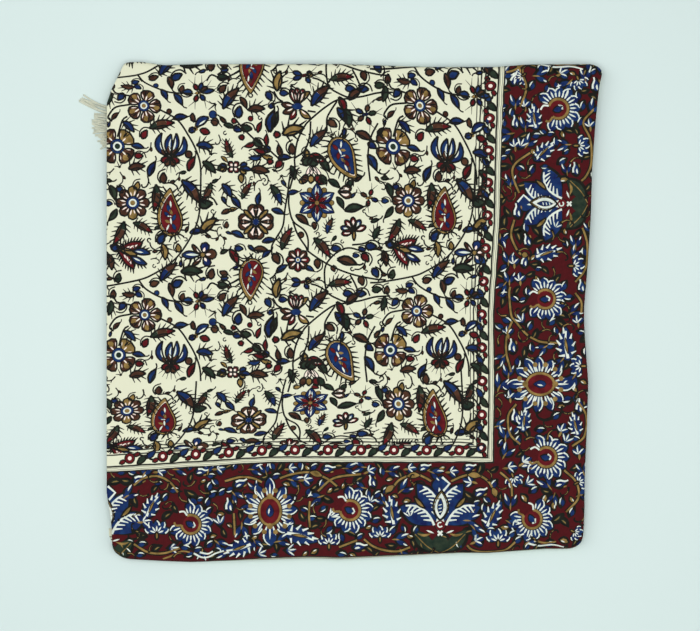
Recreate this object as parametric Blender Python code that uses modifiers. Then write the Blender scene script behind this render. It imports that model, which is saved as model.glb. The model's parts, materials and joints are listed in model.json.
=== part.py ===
"""A block-printed cotton cloth, folded in three both ways into a flat square package.

One sheet makes all nine layers. It zigzags across, from the hem turned under at the right edge
to the hem above the fringe at the left, and the three layers then zigzag along, from the hem turned
under at the front edge to the hem at the back. The short length of fringe that comes out under
the left edge is a piece of its own. The sizes below are millimetres, with X to the right, Y away
from the front edge and Z up from the surface that the package lies on.
"""

import math
from collections import namedtuple

import bmesh
import bpy
import numpy as np

MM = 0.001

# The package from above, before its edges are made uneven.
LEFT, RIGHT = -243.5, 238.0
FRONT, BACK = -246.0, 248.5

# The sheet, the air between two layers, and the three layers of one stack.
SHEET = 1.2
GAP = 0.6
PITCH = SHEET + GAP
STACK = 3 * PITCH
FLOOR_LEVEL = SHEET / 2
MIDDLE_LEVEL = FLOOR_LEVEL + PITCH + STACK

# How far each hem goes under, and how far inner folds and hems stay behind the outer ones.
HEM_TURNED_UNDER = 29.0
SET_BACK = 35.0
LEFT_HEM_INSET = 24.0
BACK_HEM_INSET = 12.0

# Where the hem with the fringe comes out to the left edge, in the lowest stack only.
HEM_REACH = 19.0
REACH_STARTS, REACH_FULL = 60.0, 150.0
REACH_WIDTH = 60.0

Run = namedtuple("Run", "name level start end")

# A row for each stretch between two folds. Level 1 is the top, and a fold joins each row to the next.
ACROSS = (
    Run("right hem, turned under", -1, RIGHT - HEM_TURNED_UNDER, RIGHT - SHEET / 2),
    Run("printed top", 1, RIGHT - SHEET / 2, LEFT + SHEET / 2),
    Run("middle layer", 0, LEFT + SHEET / 2, RIGHT - SET_BACK),
    Run("lowest layer", -1, RIGHT - SET_BACK, LEFT + LEFT_HEM_INSET),
)
OUTSIDE_STACK = PITCH + SHEET / 2
ALONG = (
    Run("front hem, turned under", -1, FRONT + HEM_TURNED_UNDER, FRONT + OUTSIDE_STACK),
    Run("top stack", 1, FRONT + OUTSIDE_STACK, BACK - OUTSIDE_STACK),
    Run("middle stack", 0, BACK - OUTSIDE_STACK, FRONT + SET_BACK),
    Run("lowest stack", -1, FRONT + SET_BACK, BACK - BACK_HEM_INSET),
)

# Every layer is divided at the same places, so that no two of them cross where they curve.
EDGE_LINES = (5.0, 13.0, 24.0)
LINES_ACROSS = (
    *(LEFT + step for step in (*EDGE_LINES, 60.0)),
    -90.0,
    20.0,
    120.0,
    *(RIGHT - step for step in (60.0, *reversed(EDGE_LINES))),
)
LINES_ALONG = (
    *(FRONT + step for step in EDGE_LINES),
    -150.0,
    -70.0,
    0.0,
    80.0,
    160.0,
    207.0,
    *(BACK - step for step in reversed(EDGE_LINES)),
)
LINE_CLEARANCE = 1.5
CLOSE_FOLD_STEPS = 4
WIDE_FOLD_STEPS = 6

# How far each edge departs from a straight one, as (place along the edge, distance outwards).
RIGHT_EDGE = (
    (-246, -5), (-216, -3.5), (-168, -3), (-120, -1), (-70, 0.5), (-24, -3), (0, -4), (48, 0),
    (96, 3), (144, 4.5), (192, 8), (216, 10.5), (228, 12), (240, 15), (249, 14),
)
LEFT_EDGE = (
    (-246, -3), (-228, -5), (-215, -5), (-200, -3), (-180, 0), (207, 0), (222, -5),
    (238, -13), (249, -18),
)
FRONT_EDGE = (
    (-244, 1), (-190, 4), (-160, 5), (-100, 3), (-40, 1), (-10, 2), (50, -1), (110, -4),
    (140, -4), (170, -6), (200, -8), (222, -8), (238, -7),
)
BACK_EDGE = (
    (-244, 2), (-226, 2.5), (-200, -1), (-160, 0), (-10, 0), (30, -1.5), (80, -3), (140, -3),
    (170, -0.5), (238, 0),
)
EDGE_REACH = 150.0

# The radius of each corner seen from above.
Corner = namedtuple("Corner", "name side end radius")
CORNERS = (
    Corner("front left", -1, -1, 20.0),
    Corner("front right", 1, -1, 17.0),
    Corner("back left", -1, 1, 5.0),
    Corner("back right", 1, 1, 13.0),
)

# The slip of each stack to the left or right, by the distance along the cloth from its front hem.
SLIP = ((0, -4.5), (6, -4.5), (12, -2.5), (21, 0.0), (520, 0.0), (980, 0.8), (1400, 0.4))

# Hollows and swells of the top, as a share of the height above the surface.
Swell = namedtuple("Swell", "name x y across along share")
SWELLS = (
    Swell("slumped back left corner", -236, 246, 60, 62, -0.26),
    Swell("pressed front left corner", -240, -240, 50, 50, -0.14),
    Swell("pressed front right corner", 236, -240, 55, 55, -0.16),
    Swell("crown", -30, 10, 230, 220, 0.07),
    Swell("swell along the right edge", 205, 60, 60, 150, 0.05),
    Swell("hollow towards the front", 60, -160, 110, 60, -0.05),
    Swell("swell towards the back", 110, 205, 90, 50, 0.05),
)
SWELL_FADE = 0.85

# The fringe that shows: flat cotton yarns on the surface, rooted in a narrow strip beside the hem.
YARNS = 20
YARN_PITCH = 1.95
YARN_THICK = 1.0
YARN_WIDTH_ROOT, YARN_WIDTH_TIP = 1.15, 0.6
FRINGE_FRONT_END = 167.5
STRIP_WIDTH = 1.6
STRIP_CLEARANCE = 0.3
YARN_LENGTH_FRONT, YARN_LENGTH_BACK = 11.0, 19.0
YARN_LENGTH_RISE = 2.2
YARN_STATIONS = (0.0, 0.35, 0.7, 1.0)
YARN_SWAY = 0.8
SWAY_TURN_LENGTH, SWAY_TURN_LEAN = 5.1, 1.7
LEAN_CURVE = 1.6
LOCK_YARNS = 4
LOCK_LENGTH, LOCK_LEAN = 33.0, 15.0
LOCK_TAPER, LOCK_SPREAD = 2.5, 0.45

COTTON_BACK_COLOUR = (0.62, 0.56, 0.44, 1.0)
COTTON_YARN_COLOUR = (0.78, 0.74, 0.62, 1.0)


def read_table(table, at):
    """The second column of a table of pairs, between the rows around the given place."""
    places, values = zip(*table)
    return float(np.interp(at, places, values))


def soft_step(value):
    """0 up to 0, 1 from 1, and a soft slope between them."""
    value = min(max(value, 0.0), 1.0)
    return value * value * (3 - 2 * value)


def fold_path(runs, pitch, lines, close_steps, wide_steps):
    """The zigzag as (place, height, facing) rows, where facing is the unit side of the fold."""
    points = []
    radius_before = 0.0
    for number, run in enumerate(runs):
        way = math.copysign(1, run.end - run.start)
        height = run.level * pitch
        after = runs[number + 1] if number + 1 < len(runs) else None
        rise = (after.level - run.level) * pitch if after else 0.0
        radius = abs(rise) / 2
        first = run.start + way * radius_before
        last = run.end - way * radius
        inner = [line for line in lines if LINE_CLEARANCE < way * (line - first)]
        inner = [line for line in inner if LINE_CLEARANCE < way * (last - line)]
        for place in (first, *sorted(inner, key=lambda line: way * line), last):
            points.append((place, height, (0.0, way), number))
        if after:
            steps = wide_steps if abs(after.level - run.level) > 1 else close_steps
            for step in range(1, steps):
                turn = math.pi * step / steps
                place = last + way * radius * math.sin(turn)
                level = height + rise / 2 - rise / 2 * math.cos(turn)
                out = (-math.copysign(1, rise) * math.sin(turn), way * math.cos(turn))
                points.append((place, level, out, number))
        radius_before = radius
    return points


def rounded_corner(x, y):
    """The place of a point once the corners are round, by mapping a square onto a quarter disc."""
    for corner in CORNERS:
        edge_x = RIGHT if corner.side > 0 else LEFT
        edge_y = BACK if corner.end > 0 else FRONT
        centre_x = edge_x - corner.side * corner.radius
        centre_y = edge_y - corner.end * corner.radius
        across = corner.side * (x - centre_x) / corner.radius
        along = corner.end * (y - centre_y) / corner.radius
        if across > 0 and along > 0:
            round_across = across * math.sqrt(max(1 - along * along / 2, 0.25))
            round_along = along * math.sqrt(max(1 - across * across / 2, 0.25))
            x = centre_x + corner.side * round_across * corner.radius
            y = centre_y + corner.end * round_along * corner.radius
    return x, y


def uneven_edges(x, y):
    """Moves a point with the nearest stretch of each edge, and less the further in it lies."""
    right = read_table(RIGHT_EDGE, y) * soft_step(1 - (RIGHT - x) / EDGE_REACH)
    left = read_table(LEFT_EDGE, y) * soft_step(1 - (x - LEFT) / EDGE_REACH)
    front = read_table(FRONT_EDGE, x) * soft_step(1 - (y - FRONT) / EDGE_REACH)
    back = read_table(BACK_EDGE, x) * soft_step(1 - (BACK - y) / EDGE_REACH)
    return x + right - left, y + back - front


def height_share(x, y):
    """How much higher or lower than even the cloth lies over this place, as a share."""
    share = 0.0
    for swell in SWELLS:
        away = math.hypot((x - swell.x) / swell.across, (y - swell.y) / swell.along)
        share += swell.share * math.exp(-(away ** 2) / SWELL_FADE)
    return share


def settled(x, y, z):
    """A point of the even zigzag where the uneven cloth has it. The lowest layer stays flat."""
    height = FLOOR_LEVEL + (z - FLOOR_LEVEL) * (1 + height_share(x, y))
    return (*uneven_edges(*rounded_corner(x, y)), height)


def hem_reach(y):
    """How far the lowest hem comes out to the left at this place along the edge."""
    return HEM_REACH * soft_step((y - REACH_STARTS) / (REACH_FULL - REACH_STARTS))


def travelled(path):
    """How far along the cloth each row of a zigzag lies."""
    steps = [math.dist(a[:2], b[:2]) for a, b in zip(path, path[1:])]
    return [0.0, *np.cumsum(steps)]


def folded_place(across, along, distance_along):
    """The place of the cloth where a row of the zigzag across meets one of the zigzag along."""
    x, lift, _, run_across = across
    y, level, facing, run_along = along
    y += facing[0] * lift
    z = MIDDLE_LEVEL + level + facing[1] * lift
    if ACROSS[run_across].name == "lowest layer" and ALONG[run_along].name == "lowest stack":
        x -= hem_reach(y) * soft_step(1 - (x - LEFT - LEFT_HEM_INSET) / REACH_WIDTH)
    return settled(x + read_table(SLIP, distance_along), y, z)


def plain_material(name, colour, roughness):
    material = bpy.data.materials.new(name)
    material.use_nodes = True
    shader = material.node_tree.nodes["Principled BSDF"]
    shader.inputs["Base Color"].default_value = colour
    shader.inputs["Roughness"].default_value = roughness
    shader.inputs["Metallic"].default_value = 0.0
    return material


def add_object(name, data, material, collection):
    data.materials.append(material)
    made = bpy.data.objects.new(name, data)
    collection.objects.link(made)
    return made


def make_cloth(collection):
    """A grid of the whole cloth, each of its points moved to its folded place, made a sheet."""
    across = fold_path(ACROSS, PITCH, LINES_ACROSS, CLOSE_FOLD_STEPS, WIDE_FOLD_STEPS)
    along = fold_path(ALONG, STACK, LINES_ALONG, CLOSE_FOLD_STEPS, WIDE_FOLD_STEPS)
    distances = travelled(along)
    last_across, last_along = len(across) - 1, len(along) - 1
    grid = bmesh.new()
    bmesh.ops.create_grid(grid, x_segments=last_across, y_segments=last_along, size=1)
    for vertex in grid.verts:
        i = round((vertex.co.x + 1) / 2 * last_across)
        j = round((vertex.co.y + 1) / 2 * last_along)
        vertex.co = [MM * value for value in folded_place(across[i], along[j], distances[j])]
    mesh = bpy.data.meshes.new("cloth")
    grid.to_mesh(mesh)
    grid.free()
    material = plain_material("printed_cotton", COTTON_BACK_COLOUR, 0.9)
    cloth = add_object("cloth", mesh, material, collection)
    thicken = cloth.modifiers.new("sheet thickness", "SOLIDIFY")
    thicken.thickness = SHEET * MM
    thicken.offset = 0.0
    thicken.use_even_offset = True
    thicken.use_quality_normals = True
    mesh.shade_smooth()
    return cloth


def yarn_outline(number, root_x):
    """The outline of one yarn, from the front side of its root round its tip to the back side."""
    share = number / (YARNS - 1)
    root_y = FRINGE_FRONT_END + (number + 0.5) * YARN_PITCH
    grown = soft_step(YARN_LENGTH_RISE * share)
    length = YARN_LENGTH_FRONT + (YARN_LENGTH_BACK - YARN_LENGTH_FRONT) * grown
    length += YARN_SWAY * math.sin(SWAY_TURN_LENGTH * number)
    lean = YARN_SWAY * math.sin(SWAY_TURN_LEAN * number)
    in_lock = number - (YARNS - LOCK_YARNS)
    if in_lock >= 0:
        length = LOCK_LENGTH - LOCK_TAPER * abs(in_lock - 1)
        lean = LOCK_LEAN - LOCK_SPREAD * (LOCK_YARNS - 1 - in_lock)
    front_side, back_side = [], []
    for along in YARN_STATIONS:
        x = root_x - length * along
        y = root_y + lean * along ** LEAN_CURVE
        half = (YARN_WIDTH_ROOT + (YARN_WIDTH_TIP - YARN_WIDTH_ROOT) * along) / 2
        front_side.append((x, y - half))
        back_side.append((x, y + half))
    return front_side + back_side[::-1]


def make_fringe(collection):
    """The yarns and the strip that they grow from: one flat comb, level on the surface."""
    hem_x = LEFT + LEFT_HEM_INSET - HEM_REACH + SLIP[-1][1]
    strip_x = hem_x - STRIP_CLEARANCE
    root_x = strip_x - STRIP_WIDTH
    outline = [(strip_x, FRINGE_FRONT_END)]
    outline.append((root_x, FRINGE_FRONT_END))
    for number in range(YARNS):
        outline += yarn_outline(number, root_x)
    back_end = FRINGE_FRONT_END + YARNS * YARN_PITCH
    outline += [(root_x, back_end), (strip_x, back_end)]
    curve = bpy.data.curves.new("fringe", "CURVE")
    curve.dimensions = "2D"
    curve.fill_mode = "BOTH"
    curve.extrude = YARN_THICK / 2 * MM
    spline = curve.splines.new("POLY")
    spline.points.add(len(outline) - 1)
    for point, (x, y) in zip(spline.points, outline):
        point.co = (x * MM, y * MM, 0.0, 1.0)
    spline.use_cyclic_u = True
    material = plain_material("cotton_yarn", COTTON_YARN_COLOUR, 0.95)
    fringe = add_object("fringe", curve, material, collection)
    fringe.location.z = YARN_THICK / 2 * MM
    return fringe


def bounds(objects):
    """The lowest and highest corner of these objects together, as they are seen."""
    bpy.context.view_layer.update()
    graph = bpy.context.evaluated_depsgraph_get()
    corners = []
    for made in objects:
        seen = made.evaluated_get(graph)
        mesh = seen.to_mesh()
        corners += [seen.matrix_world @ vertex.co for vertex in mesh.vertices]
        seen.to_mesh_clear()
    corners = np.array(corners)
    return corners.min(axis=0), corners.max(axis=0)


def main():
    for old in list(bpy.data.objects):
        bpy.data.objects.remove(old, do_unlink=True)
    collection = bpy.data.collections.new("folded_printed_cloth")
    bpy.context.scene.collection.children.link(collection)
    pieces = [make_cloth(collection), make_fringe(collection)]
    low, high = bounds(pieces)
    for piece in pieces:
        piece.location.x -= (low[0] + high[0]) / 2
        piece.location.y -= (low[1] + high[1]) / 2


main()
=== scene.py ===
# %% [markdown]
# # A folded, block-printed cotton cloth
#
# The real object is one square of plain-weave cotton, printed by hand from carved wooden blocks and
# folded in three across and then in three along. The lesson builds it the same way round: first the
# folds, then the bare sheet, then the ground colours, then every flower as a skin of dye on the sheet,
# and last the fringe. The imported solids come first, because everything has to sit where they are.

# %% Load the fixed frame
import json
import math

import bpy
import numpy as np
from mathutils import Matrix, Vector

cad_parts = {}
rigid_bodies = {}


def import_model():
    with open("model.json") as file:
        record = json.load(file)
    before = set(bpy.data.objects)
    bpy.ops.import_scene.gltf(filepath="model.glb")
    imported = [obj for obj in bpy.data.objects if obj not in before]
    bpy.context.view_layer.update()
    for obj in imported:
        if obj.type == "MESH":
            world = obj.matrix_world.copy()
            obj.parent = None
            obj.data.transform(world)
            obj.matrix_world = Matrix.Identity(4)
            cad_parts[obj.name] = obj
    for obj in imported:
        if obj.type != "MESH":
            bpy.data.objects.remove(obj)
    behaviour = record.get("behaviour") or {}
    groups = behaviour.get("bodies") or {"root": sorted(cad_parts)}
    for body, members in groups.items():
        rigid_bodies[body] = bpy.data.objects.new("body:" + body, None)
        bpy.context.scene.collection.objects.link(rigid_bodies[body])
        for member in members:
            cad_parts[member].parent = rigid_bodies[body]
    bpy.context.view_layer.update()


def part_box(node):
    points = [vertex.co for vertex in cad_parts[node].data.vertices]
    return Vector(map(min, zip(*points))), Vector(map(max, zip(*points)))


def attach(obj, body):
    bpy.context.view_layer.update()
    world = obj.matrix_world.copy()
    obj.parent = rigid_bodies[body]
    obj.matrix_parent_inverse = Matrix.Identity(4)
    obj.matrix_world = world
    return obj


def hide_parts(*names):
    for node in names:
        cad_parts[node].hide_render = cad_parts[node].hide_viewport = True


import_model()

_, cloth_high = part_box("cloth")

# %% [markdown]
# ## The folds
#
# A cloth that is folded in three one way and then the other is two zigzags, one carried by the other.
# Each zigzag is a list of straight stretches, with half a turn between two of them. A point of the flat
# cloth is then two distances, one along each zigzag, and its folded place needs no simulation. A cloth
# simulation was left out here: it can't keep nine layers apart at this size, and the print has to
# follow the very same folds. Sizes are millimetres in the package's own frame.

# %% The package and its stretches
MM = 0.001
LEFT, RIGHT = -243.5, 238.0
FRONT, BACK = -246.0, 248.5
SOLID_SHEET = 1.2
PITCH = 1.8
STACK = 3 * PITCH
FLOOR_LEVEL = SOLID_SHEET / 2
MIDDLE_LEVEL = FLOOR_LEVEL + PITCH + STACK
TURNED_UNDER = 29.0
SET_BACK = 35.0
LEFT_HEM_INSET = 24.0
BACK_HEM_INSET = 12.0
OUTSIDE_STACK = PITCH + SOLID_SHEET / 2

# Each stretch is (level, start, end, spacing of the grid lines on it).
FINE, COARSE = 4.5, 20.0
ACROSS = (
    (-1, RIGHT - TURNED_UNDER, RIGHT - SOLID_SHEET / 2, 7.0),
    (1, RIGHT - SOLID_SHEET / 2, LEFT + SOLID_SHEET / 2, FINE),
    (0, LEFT + SOLID_SHEET / 2, RIGHT - SET_BACK, COARSE),
    (-1, RIGHT - SET_BACK, LEFT + LEFT_HEM_INSET, COARSE),
)
ALONG = (
    (-1, FRONT + TURNED_UNDER, FRONT + OUTSIDE_STACK, 7.0),
    (1, FRONT + OUTSIDE_STACK, BACK - OUTSIDE_STACK, FINE),
    (0, BACK - OUTSIDE_STACK, FRONT + SET_BACK, COARSE),
    (-1, FRONT + SET_BACK, BACK - BACK_HEM_INSET, COARSE),
)
TURN_STEPS = 14
PRINTED_RUN = 1


# %% Walk a zigzag
class Zigzag:
    """Rows along a folded strip: place, height, the unit facing of its outer side, and stretch."""

    def __init__(self, runs, pitch):
        rows, radius_before = [], 0.0
        for number, (level, start, end, spacing) in enumerate(runs):
            way = math.copysign(1, end - start)
            after = runs[number + 1][0] if number + 1 < len(runs) else level
            rise = (after - level) * pitch
            radius = abs(rise) / 2
            first, last = start + way * radius_before, end - way * radius
            count = max(2, round(abs(last - first) / spacing) + 1)
            rows += [(x, level * pitch, 0.0, way, number) for x in np.linspace(first, last, count)]
            for step in range(1, TURN_STEPS if rise else 1):
                turn = math.pi * step / TURN_STEPS
                place = last + way * radius * math.sin(turn)
                height = level * pitch + rise / 2 * (1 - math.cos(turn))
                facing = (-math.copysign(1, rise) * math.sin(turn), way * math.cos(turn))
                rows.append((place, height, *facing, number))
            radius_before = radius
        self.place, self.height, self.out, self.up, self.run = np.array(rows).T

    def length_at(self, lift):
        """The distance to each row, measured on a layer that lies lift above the strip's middle."""
        x = self.place + lift * self.out
        z = self.height + lift * self.up
        return np.concatenate([[0.0], np.cumsum(np.hypot(np.diff(x), np.diff(z)))])


across = Zigzag(ACROSS, PITCH)
along = Zigzag(ALONG, STACK)
FLAT_WIDTH = across.length_at(0.0)[-1]
FLAT_LENGTH = along.length_at(0.0)[-1]
print(f"flat cloth {FLAT_WIDTH:.0f} x {FLAT_LENGTH:.0f} mm")

# %% [markdown]
# The print is laid out in flat places u and v that agree with X and Y on the printed top, so a flower
# is drawn where it shows. Round each fold the same numbers run on, so a flower that meets a fold simply
# carries over it.

# %% Flat places on the printed side
walked = across.length_at(0.0)
on_top = np.flatnonzero(across.run == PRINTED_RUN)[0]
across_u = across.place[on_top] + walked[on_top] - walked
walked = along.length_at(PITCH)
on_top = np.flatnonzero(along.run == PRINTED_RUN)[0]
along_v = along.place[on_top] - walked[on_top] + walked
U_LOW, U_HIGH = across_u[-1], across_u[0]
V_LOW, V_HIGH = along_v[0], along_v[-1]
print(f"flat places u {U_LOW:.0f} to {U_HIGH:.0f}, v {V_LOW:.0f} to {V_HIGH:.0f}")

# %% [markdown]
# No hand-folded cloth has straight edges. Each edge gets a short table of how far it departs from a
# straight line, the corners are rounded, and broad hollows and swells lift or press the whole pile. All
# nine layers move together, so none of them cuts through another.

# %% How the real edges wander
RIGHT_EDGE = (
    (-246, -5), (-216, -3.5), (-168, -3), (-120, -1), (-70, 0.5), (-24, -3), (0, -4), (48, 0),
    (96, 3), (144, 4.5), (192, 8), (216, 10.5), (228, 12), (240, 15), (249, 14),
)
LEFT_EDGE = (
    (-246, -3), (-228, -5), (-215, -5), (-200, -3), (-180, 0), (207, 0), (222, -5),
    (238, -13), (249, -18),
)
FRONT_EDGE = (
    (-244, 1), (-190, 4), (-160, 5), (-100, 3), (-40, 1), (-10, 2), (50, -1), (110, -4),
    (140, -4), (170, -6), (200, -8), (222, -8), (238, -7),
)
BACK_EDGE = (
    (-244, 2), (-226, 2.5), (-200, -1), (-160, 0), (-10, 0), (30, -1.5), (80, -3), (140, -3),
    (170, -0.5), (238, 0),
)
EDGE_REACH = 150.0
CORNERS = ((-1, -1, 20.0), (1, -1, 17.0), (-1, 1, 5.0), (1, 1, 13.0))
SLIP = ((0, -4.5), (6, -4.5), (12, -2.5), (21, 0.0), (520, 0.0), (980, 0.8), (1400, 0.4))
# Each swell is (x, y, reach across, reach along, share of the height above the surface).
SWELLS = (
    (-236, 246, 60, 62, -0.26),
    (-240, -240, 50, 50, -0.14),
    (236, -240, 55, 55, -0.16),
    (-30, 10, 230, 220, 0.07),
    (205, 60, 60, 150, 0.05),
    (60, -160, 110, 60, -0.05),
    (110, 205, 90, 50, 0.05),
)
SWELL_FADE = 0.85


def read_table(table, at):
    places, values = zip(*table)
    return np.interp(at, places, values)


def soft_step(value):
    value = np.clip(value, 0.0, 1.0)
    return value * value * (3 - 2 * value)


def rounded_corner(x, y):
    """Rounds the corners by mapping each corner's square onto a quarter disc."""
    for side, end, radius in CORNERS:
        centre_x = (RIGHT if side > 0 else LEFT) - side * radius
        centre_y = (BACK if end > 0 else FRONT) - end * radius
        a = side * (x - centre_x) / radius
        b = end * (y - centre_y) / radius
        inside = (a > 0) & (b > 0)
        round_a = a * np.sqrt(np.maximum(1 - b * b / 2, 0.25))
        round_b = b * np.sqrt(np.maximum(1 - a * a / 2, 0.25))
        x = np.where(inside, centre_x + side * round_a * radius, x)
        y = np.where(inside, centre_y + end * round_b * radius, y)
    return x, y


def uneven_edges(x, y):
    right = read_table(RIGHT_EDGE, y) * soft_step(1 - (RIGHT - x) / EDGE_REACH)
    left = read_table(LEFT_EDGE, y) * soft_step(1 - (x - LEFT) / EDGE_REACH)
    front = read_table(FRONT_EDGE, x) * soft_step(1 - (y - FRONT) / EDGE_REACH)
    back = read_table(BACK_EDGE, x) * soft_step(1 - (BACK - y) / EDGE_REACH)
    return x + right - left, y + back - front


def height_share(x, y):
    share = np.zeros_like(x)
    for at_x, at_y, reach_x, reach_y, amount in SWELLS:
        away = np.hypot((x - at_x) / reach_x, (y - at_y) / reach_y)
        share += amount * np.exp(-away ** 2 / SWELL_FADE)
    return share


# %% [markdown]
# Over the broad swells lie small creases: soft troughs and ridges where the cloth was pressed or
# dragged when it was folded. They are listed one by one and fade through the layers beneath, and the
# floor side stays flat.

# %% Soft creases of the top layers
# Each crease is (start, end, half width, height), as a ridge above zero or a trough below it.
CREASES = (
    ((188, -236), (232, -233), 5.0, 0.9),
    ((170, -228), (205, -222), 7.0, -0.7),
    ((70, 238), (150, 242), 8.0, -0.9),
    ((105, 228), (160, 214), 9.0, 0.6),
    ((-236, 205), (-190, 170), 10.0, 0.7),
    ((-238, 180), (-200, 150), 9.0, -0.6),
    ((-120, 236), (-40, 232), 10.0, -0.5),
    ((225, 205), (215, 120), 10.0, 0.6),
    ((232, 20), (222, -60), 9.0, -0.7),
    ((205, -20), (196, -90), 12.0, 0.4),
    ((-235, -60), (-232, 60), 12.0, -0.4),
    ((-225, -205), (-150, -222), 9.0, 0.6),
    ((-90, -234), (10, -236), 9.0, -0.5),
    ((-20, -90), (90, -98), 16.0, -0.35),
    ((-130, 60), (-60, 130), 22.0, -0.35),
    ((40, 20), (20, 150), 20.0, 0.35),
)
CREASE_DEPTH_FADE = 5.0
TOP_LEVEL = MIDDLE_LEVEL + STACK + PITCH


def crease_height(x, y):
    height = np.zeros_like(x)
    for (x0, y0), (x1, y1), half_width, amount in CREASES:
        way_x, way_y = x1 - x0, y1 - y0
        length_squared = way_x ** 2 + way_y ** 2
        share = ((x - x0) * way_x + (y - y0) * way_y) / length_squared
        nearest = np.clip(share, 0.0, 1.0)
        away = np.hypot(x - x0 - nearest * way_x, y - y0 - nearest * way_y) / half_width
        height += amount * np.exp(-away ** 2)
    return height


# %% [markdown]
# The solids are a sheet 1.2 mm thick, and the cloth itself is about half of that. Its underside still
# lies on the floor and its top reaches as high as the solids', so the heights are stretched a little.

# %% The folded place of any flat place
SHEET = 0.6
HEM_REACH = 19.0
REACH_STARTS, REACH_FULL, REACH_WIDTH = 60.0, 150.0, 60.0
shift = np.zeros(2)
lift_scale = 1.0


def folded(u, v, proud=0.0):
    """Folded places, in millimetres in the solids' frame, of flat places, proud above the print."""
    x = np.interp(-u, -across_u, across.place)
    lift = np.interp(-u, -across_u, across.height)
    run_across = np.interp(-u, -across_u, across.run)
    y = np.interp(v, along_v, along.place)
    level = np.interp(v, along_v, along.height)
    out = np.interp(v, along_v, along.out)
    up = np.interp(v, along_v, along.up)
    run_along = np.interp(v, along_v, along.run)
    y = y + out * lift
    z = MIDDLE_LEVEL + level + up * lift
    reach = HEM_REACH * soft_step((y - REACH_STARTS) / (REACH_FULL - REACH_STARTS))
    reach = reach * soft_step(1 - (x - LEFT - LEFT_HEM_INSET) / REACH_WIDTH)
    x = x - np.where((run_across > 2.5) & (run_along > 2.5), reach, 0.0)
    x = x + read_table(SLIP, v - V_LOW)
    rise = (z - FLOOR_LEVEL) / (TOP_LEVEL - FLOOR_LEVEL)
    z = (z - FLOOR_LEVEL) * (1 + height_share(x, y))
    z = z + crease_height(x, y) * np.clip(rise, 0.0, 1.0) ** CREASE_DEPTH_FADE
    x, y = uneven_edges(*rounded_corner(x, y))
    places = np.stack([x + shift[0], y + shift[1], SHEET / 2 + z * lift_scale], axis=-1)
    if np.any(proud):
        places = places + facing(u, v) * np.asarray(proud)[..., None]
    return places


def facing(u, v, step=0.3):
    """The unit direction in which the printed side faces."""
    along_u = folded(u + step, v) - folded(u - step, v)
    along_v_ = folded(u, v + step) - folded(u, v - step)
    out = np.cross(along_u, along_v_)
    return out / np.maximum(np.linalg.norm(out, axis=-1, keepdims=True), 1e-9)


# %% The bare sheet's grid
grid_u, grid_v = np.meshgrid(across_u, along_v, indexing="ij")
places = folded(grid_u, grid_v)
outside = places.max(axis=(0, 1))
shift[0] = cloth_high.x / MM - SOLID_SHEET / 2 - outside[0]
shift[1] = cloth_high.y / MM - SOLID_SHEET / 2 - outside[1]
lift_scale = (cloth_high.z / MM - SHEET) / (outside[2] - SHEET / 2)
places = folded(grid_u, grid_v)
print("shift to the solids' frame", shift, "height scale", round(lift_scale, 4))
print("middle of the sheet from", places.min(axis=(0, 1)).round(2), "to", places.max(axis=(0, 1)).round(2))

# %% [markdown]
# ## Dyes and the shader shorthand
#
# A material is a sum of small rules, and sums read best as sums. One small class wraps a socket and
# gives it the usual operators, each of which adds a Math node. Any other node comes from one method.

# %% Sockets that can be added and multiplied
class Value:
    """A socket of a material, with the operators that its numbers need."""

    def __init__(self, paint, socket):
        self.paint, self.socket = paint, socket

    def maths(self, operation, *others, first=None):
        inputs = [self, *others] if first is None else [first, self]
        return self.paint.node("Math", {"operation": operation}, dict(enumerate(inputs)))

    def __add__(self, other):
        return self.maths("ADD", other)

    def __sub__(self, other):
        return self.maths("SUBTRACT", other)

    def __rsub__(self, other):
        return self.maths("SUBTRACT", first=other)

    def __mul__(self, other):
        return self.maths("MULTIPLY", other)

    def __truediv__(self, other):
        return self.maths("DIVIDE", other)

    def __abs__(self):
        return self.maths("ABSOLUTE")

    def top(self, other):
        return self.maths("MAXIMUM", other)

    def bottom(self, other):
        return self.maths("MINIMUM", other)

    def sine(self):
        return self.maths("SINE")

    def within(self, low, high, soft):
        """1 where the value is between low and high, 0 elsewhere, with a soft edge."""
        inside = self - (low + high) / 2
        edge = ((high - low) / 2 - abs(inside)) / soft + 0.5
        return edge.top(0.0).bottom(1.0)


class Paint:
    """A new material and the nodes that feed its one shader."""

    def __init__(self, name, roughness):
        self.material = bpy.data.materials.new(name)
        self.material.use_nodes = True
        self.tree = self.material.node_tree
        self.shader = self.tree.nodes["Principled BSDF"]
        self.shader.inputs["Roughness"].default_value = roughness
        self.shader.inputs["Specular IOR Level"].default_value = 0.18

    def node(self, kind, settings=None, inputs=None, output=0):
        made = self.tree.nodes.new("ShaderNode" + kind)
        for name, value in (settings or {}).items():
            setattr(made, name, value)
        for name, value in (inputs or {}).items():
            self.feed(made.inputs[name], value)
        return Value(self, made.outputs[output])

    def feed(self, socket, value):
        if isinstance(value, Value):
            self.tree.links.new(value.socket, socket)
        else:
            socket.default_value = value

    def mix(self, share, first, second):
        """The first colour, turned to the second where share is 1."""
        return self.node("Mix", {"data_type": "RGBA"}, {0: share, 6: first, 7: second}, 2)

    def noise(self, where, scale, detail=2.0):
        return self.node("TexNoise", {}, {"Vector": where, "Scale": scale, "Detail": detail})

    def flat_places(self):
        """The print's own flat places as a vector, and its two parts."""
        uv = self.node("UVMap", {"uv_map": "print"})
        parts = self.node("SeparateXYZ", {}, {0: uv})
        return uv, (parts, Value(self, parts.socket.node.outputs[1]))

    def finish(self, colour, height=None, depth=0.0001, strength=1.0):
        self.feed(self.shader.inputs["Base Color"], colour)
        if height is not None:
            inputs = {"Height": height, "Distance": depth, "Strength": strength}
            self.feed(self.shader.inputs["Normal"], self.node("Bump", {}, inputs))
        return self.material


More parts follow.
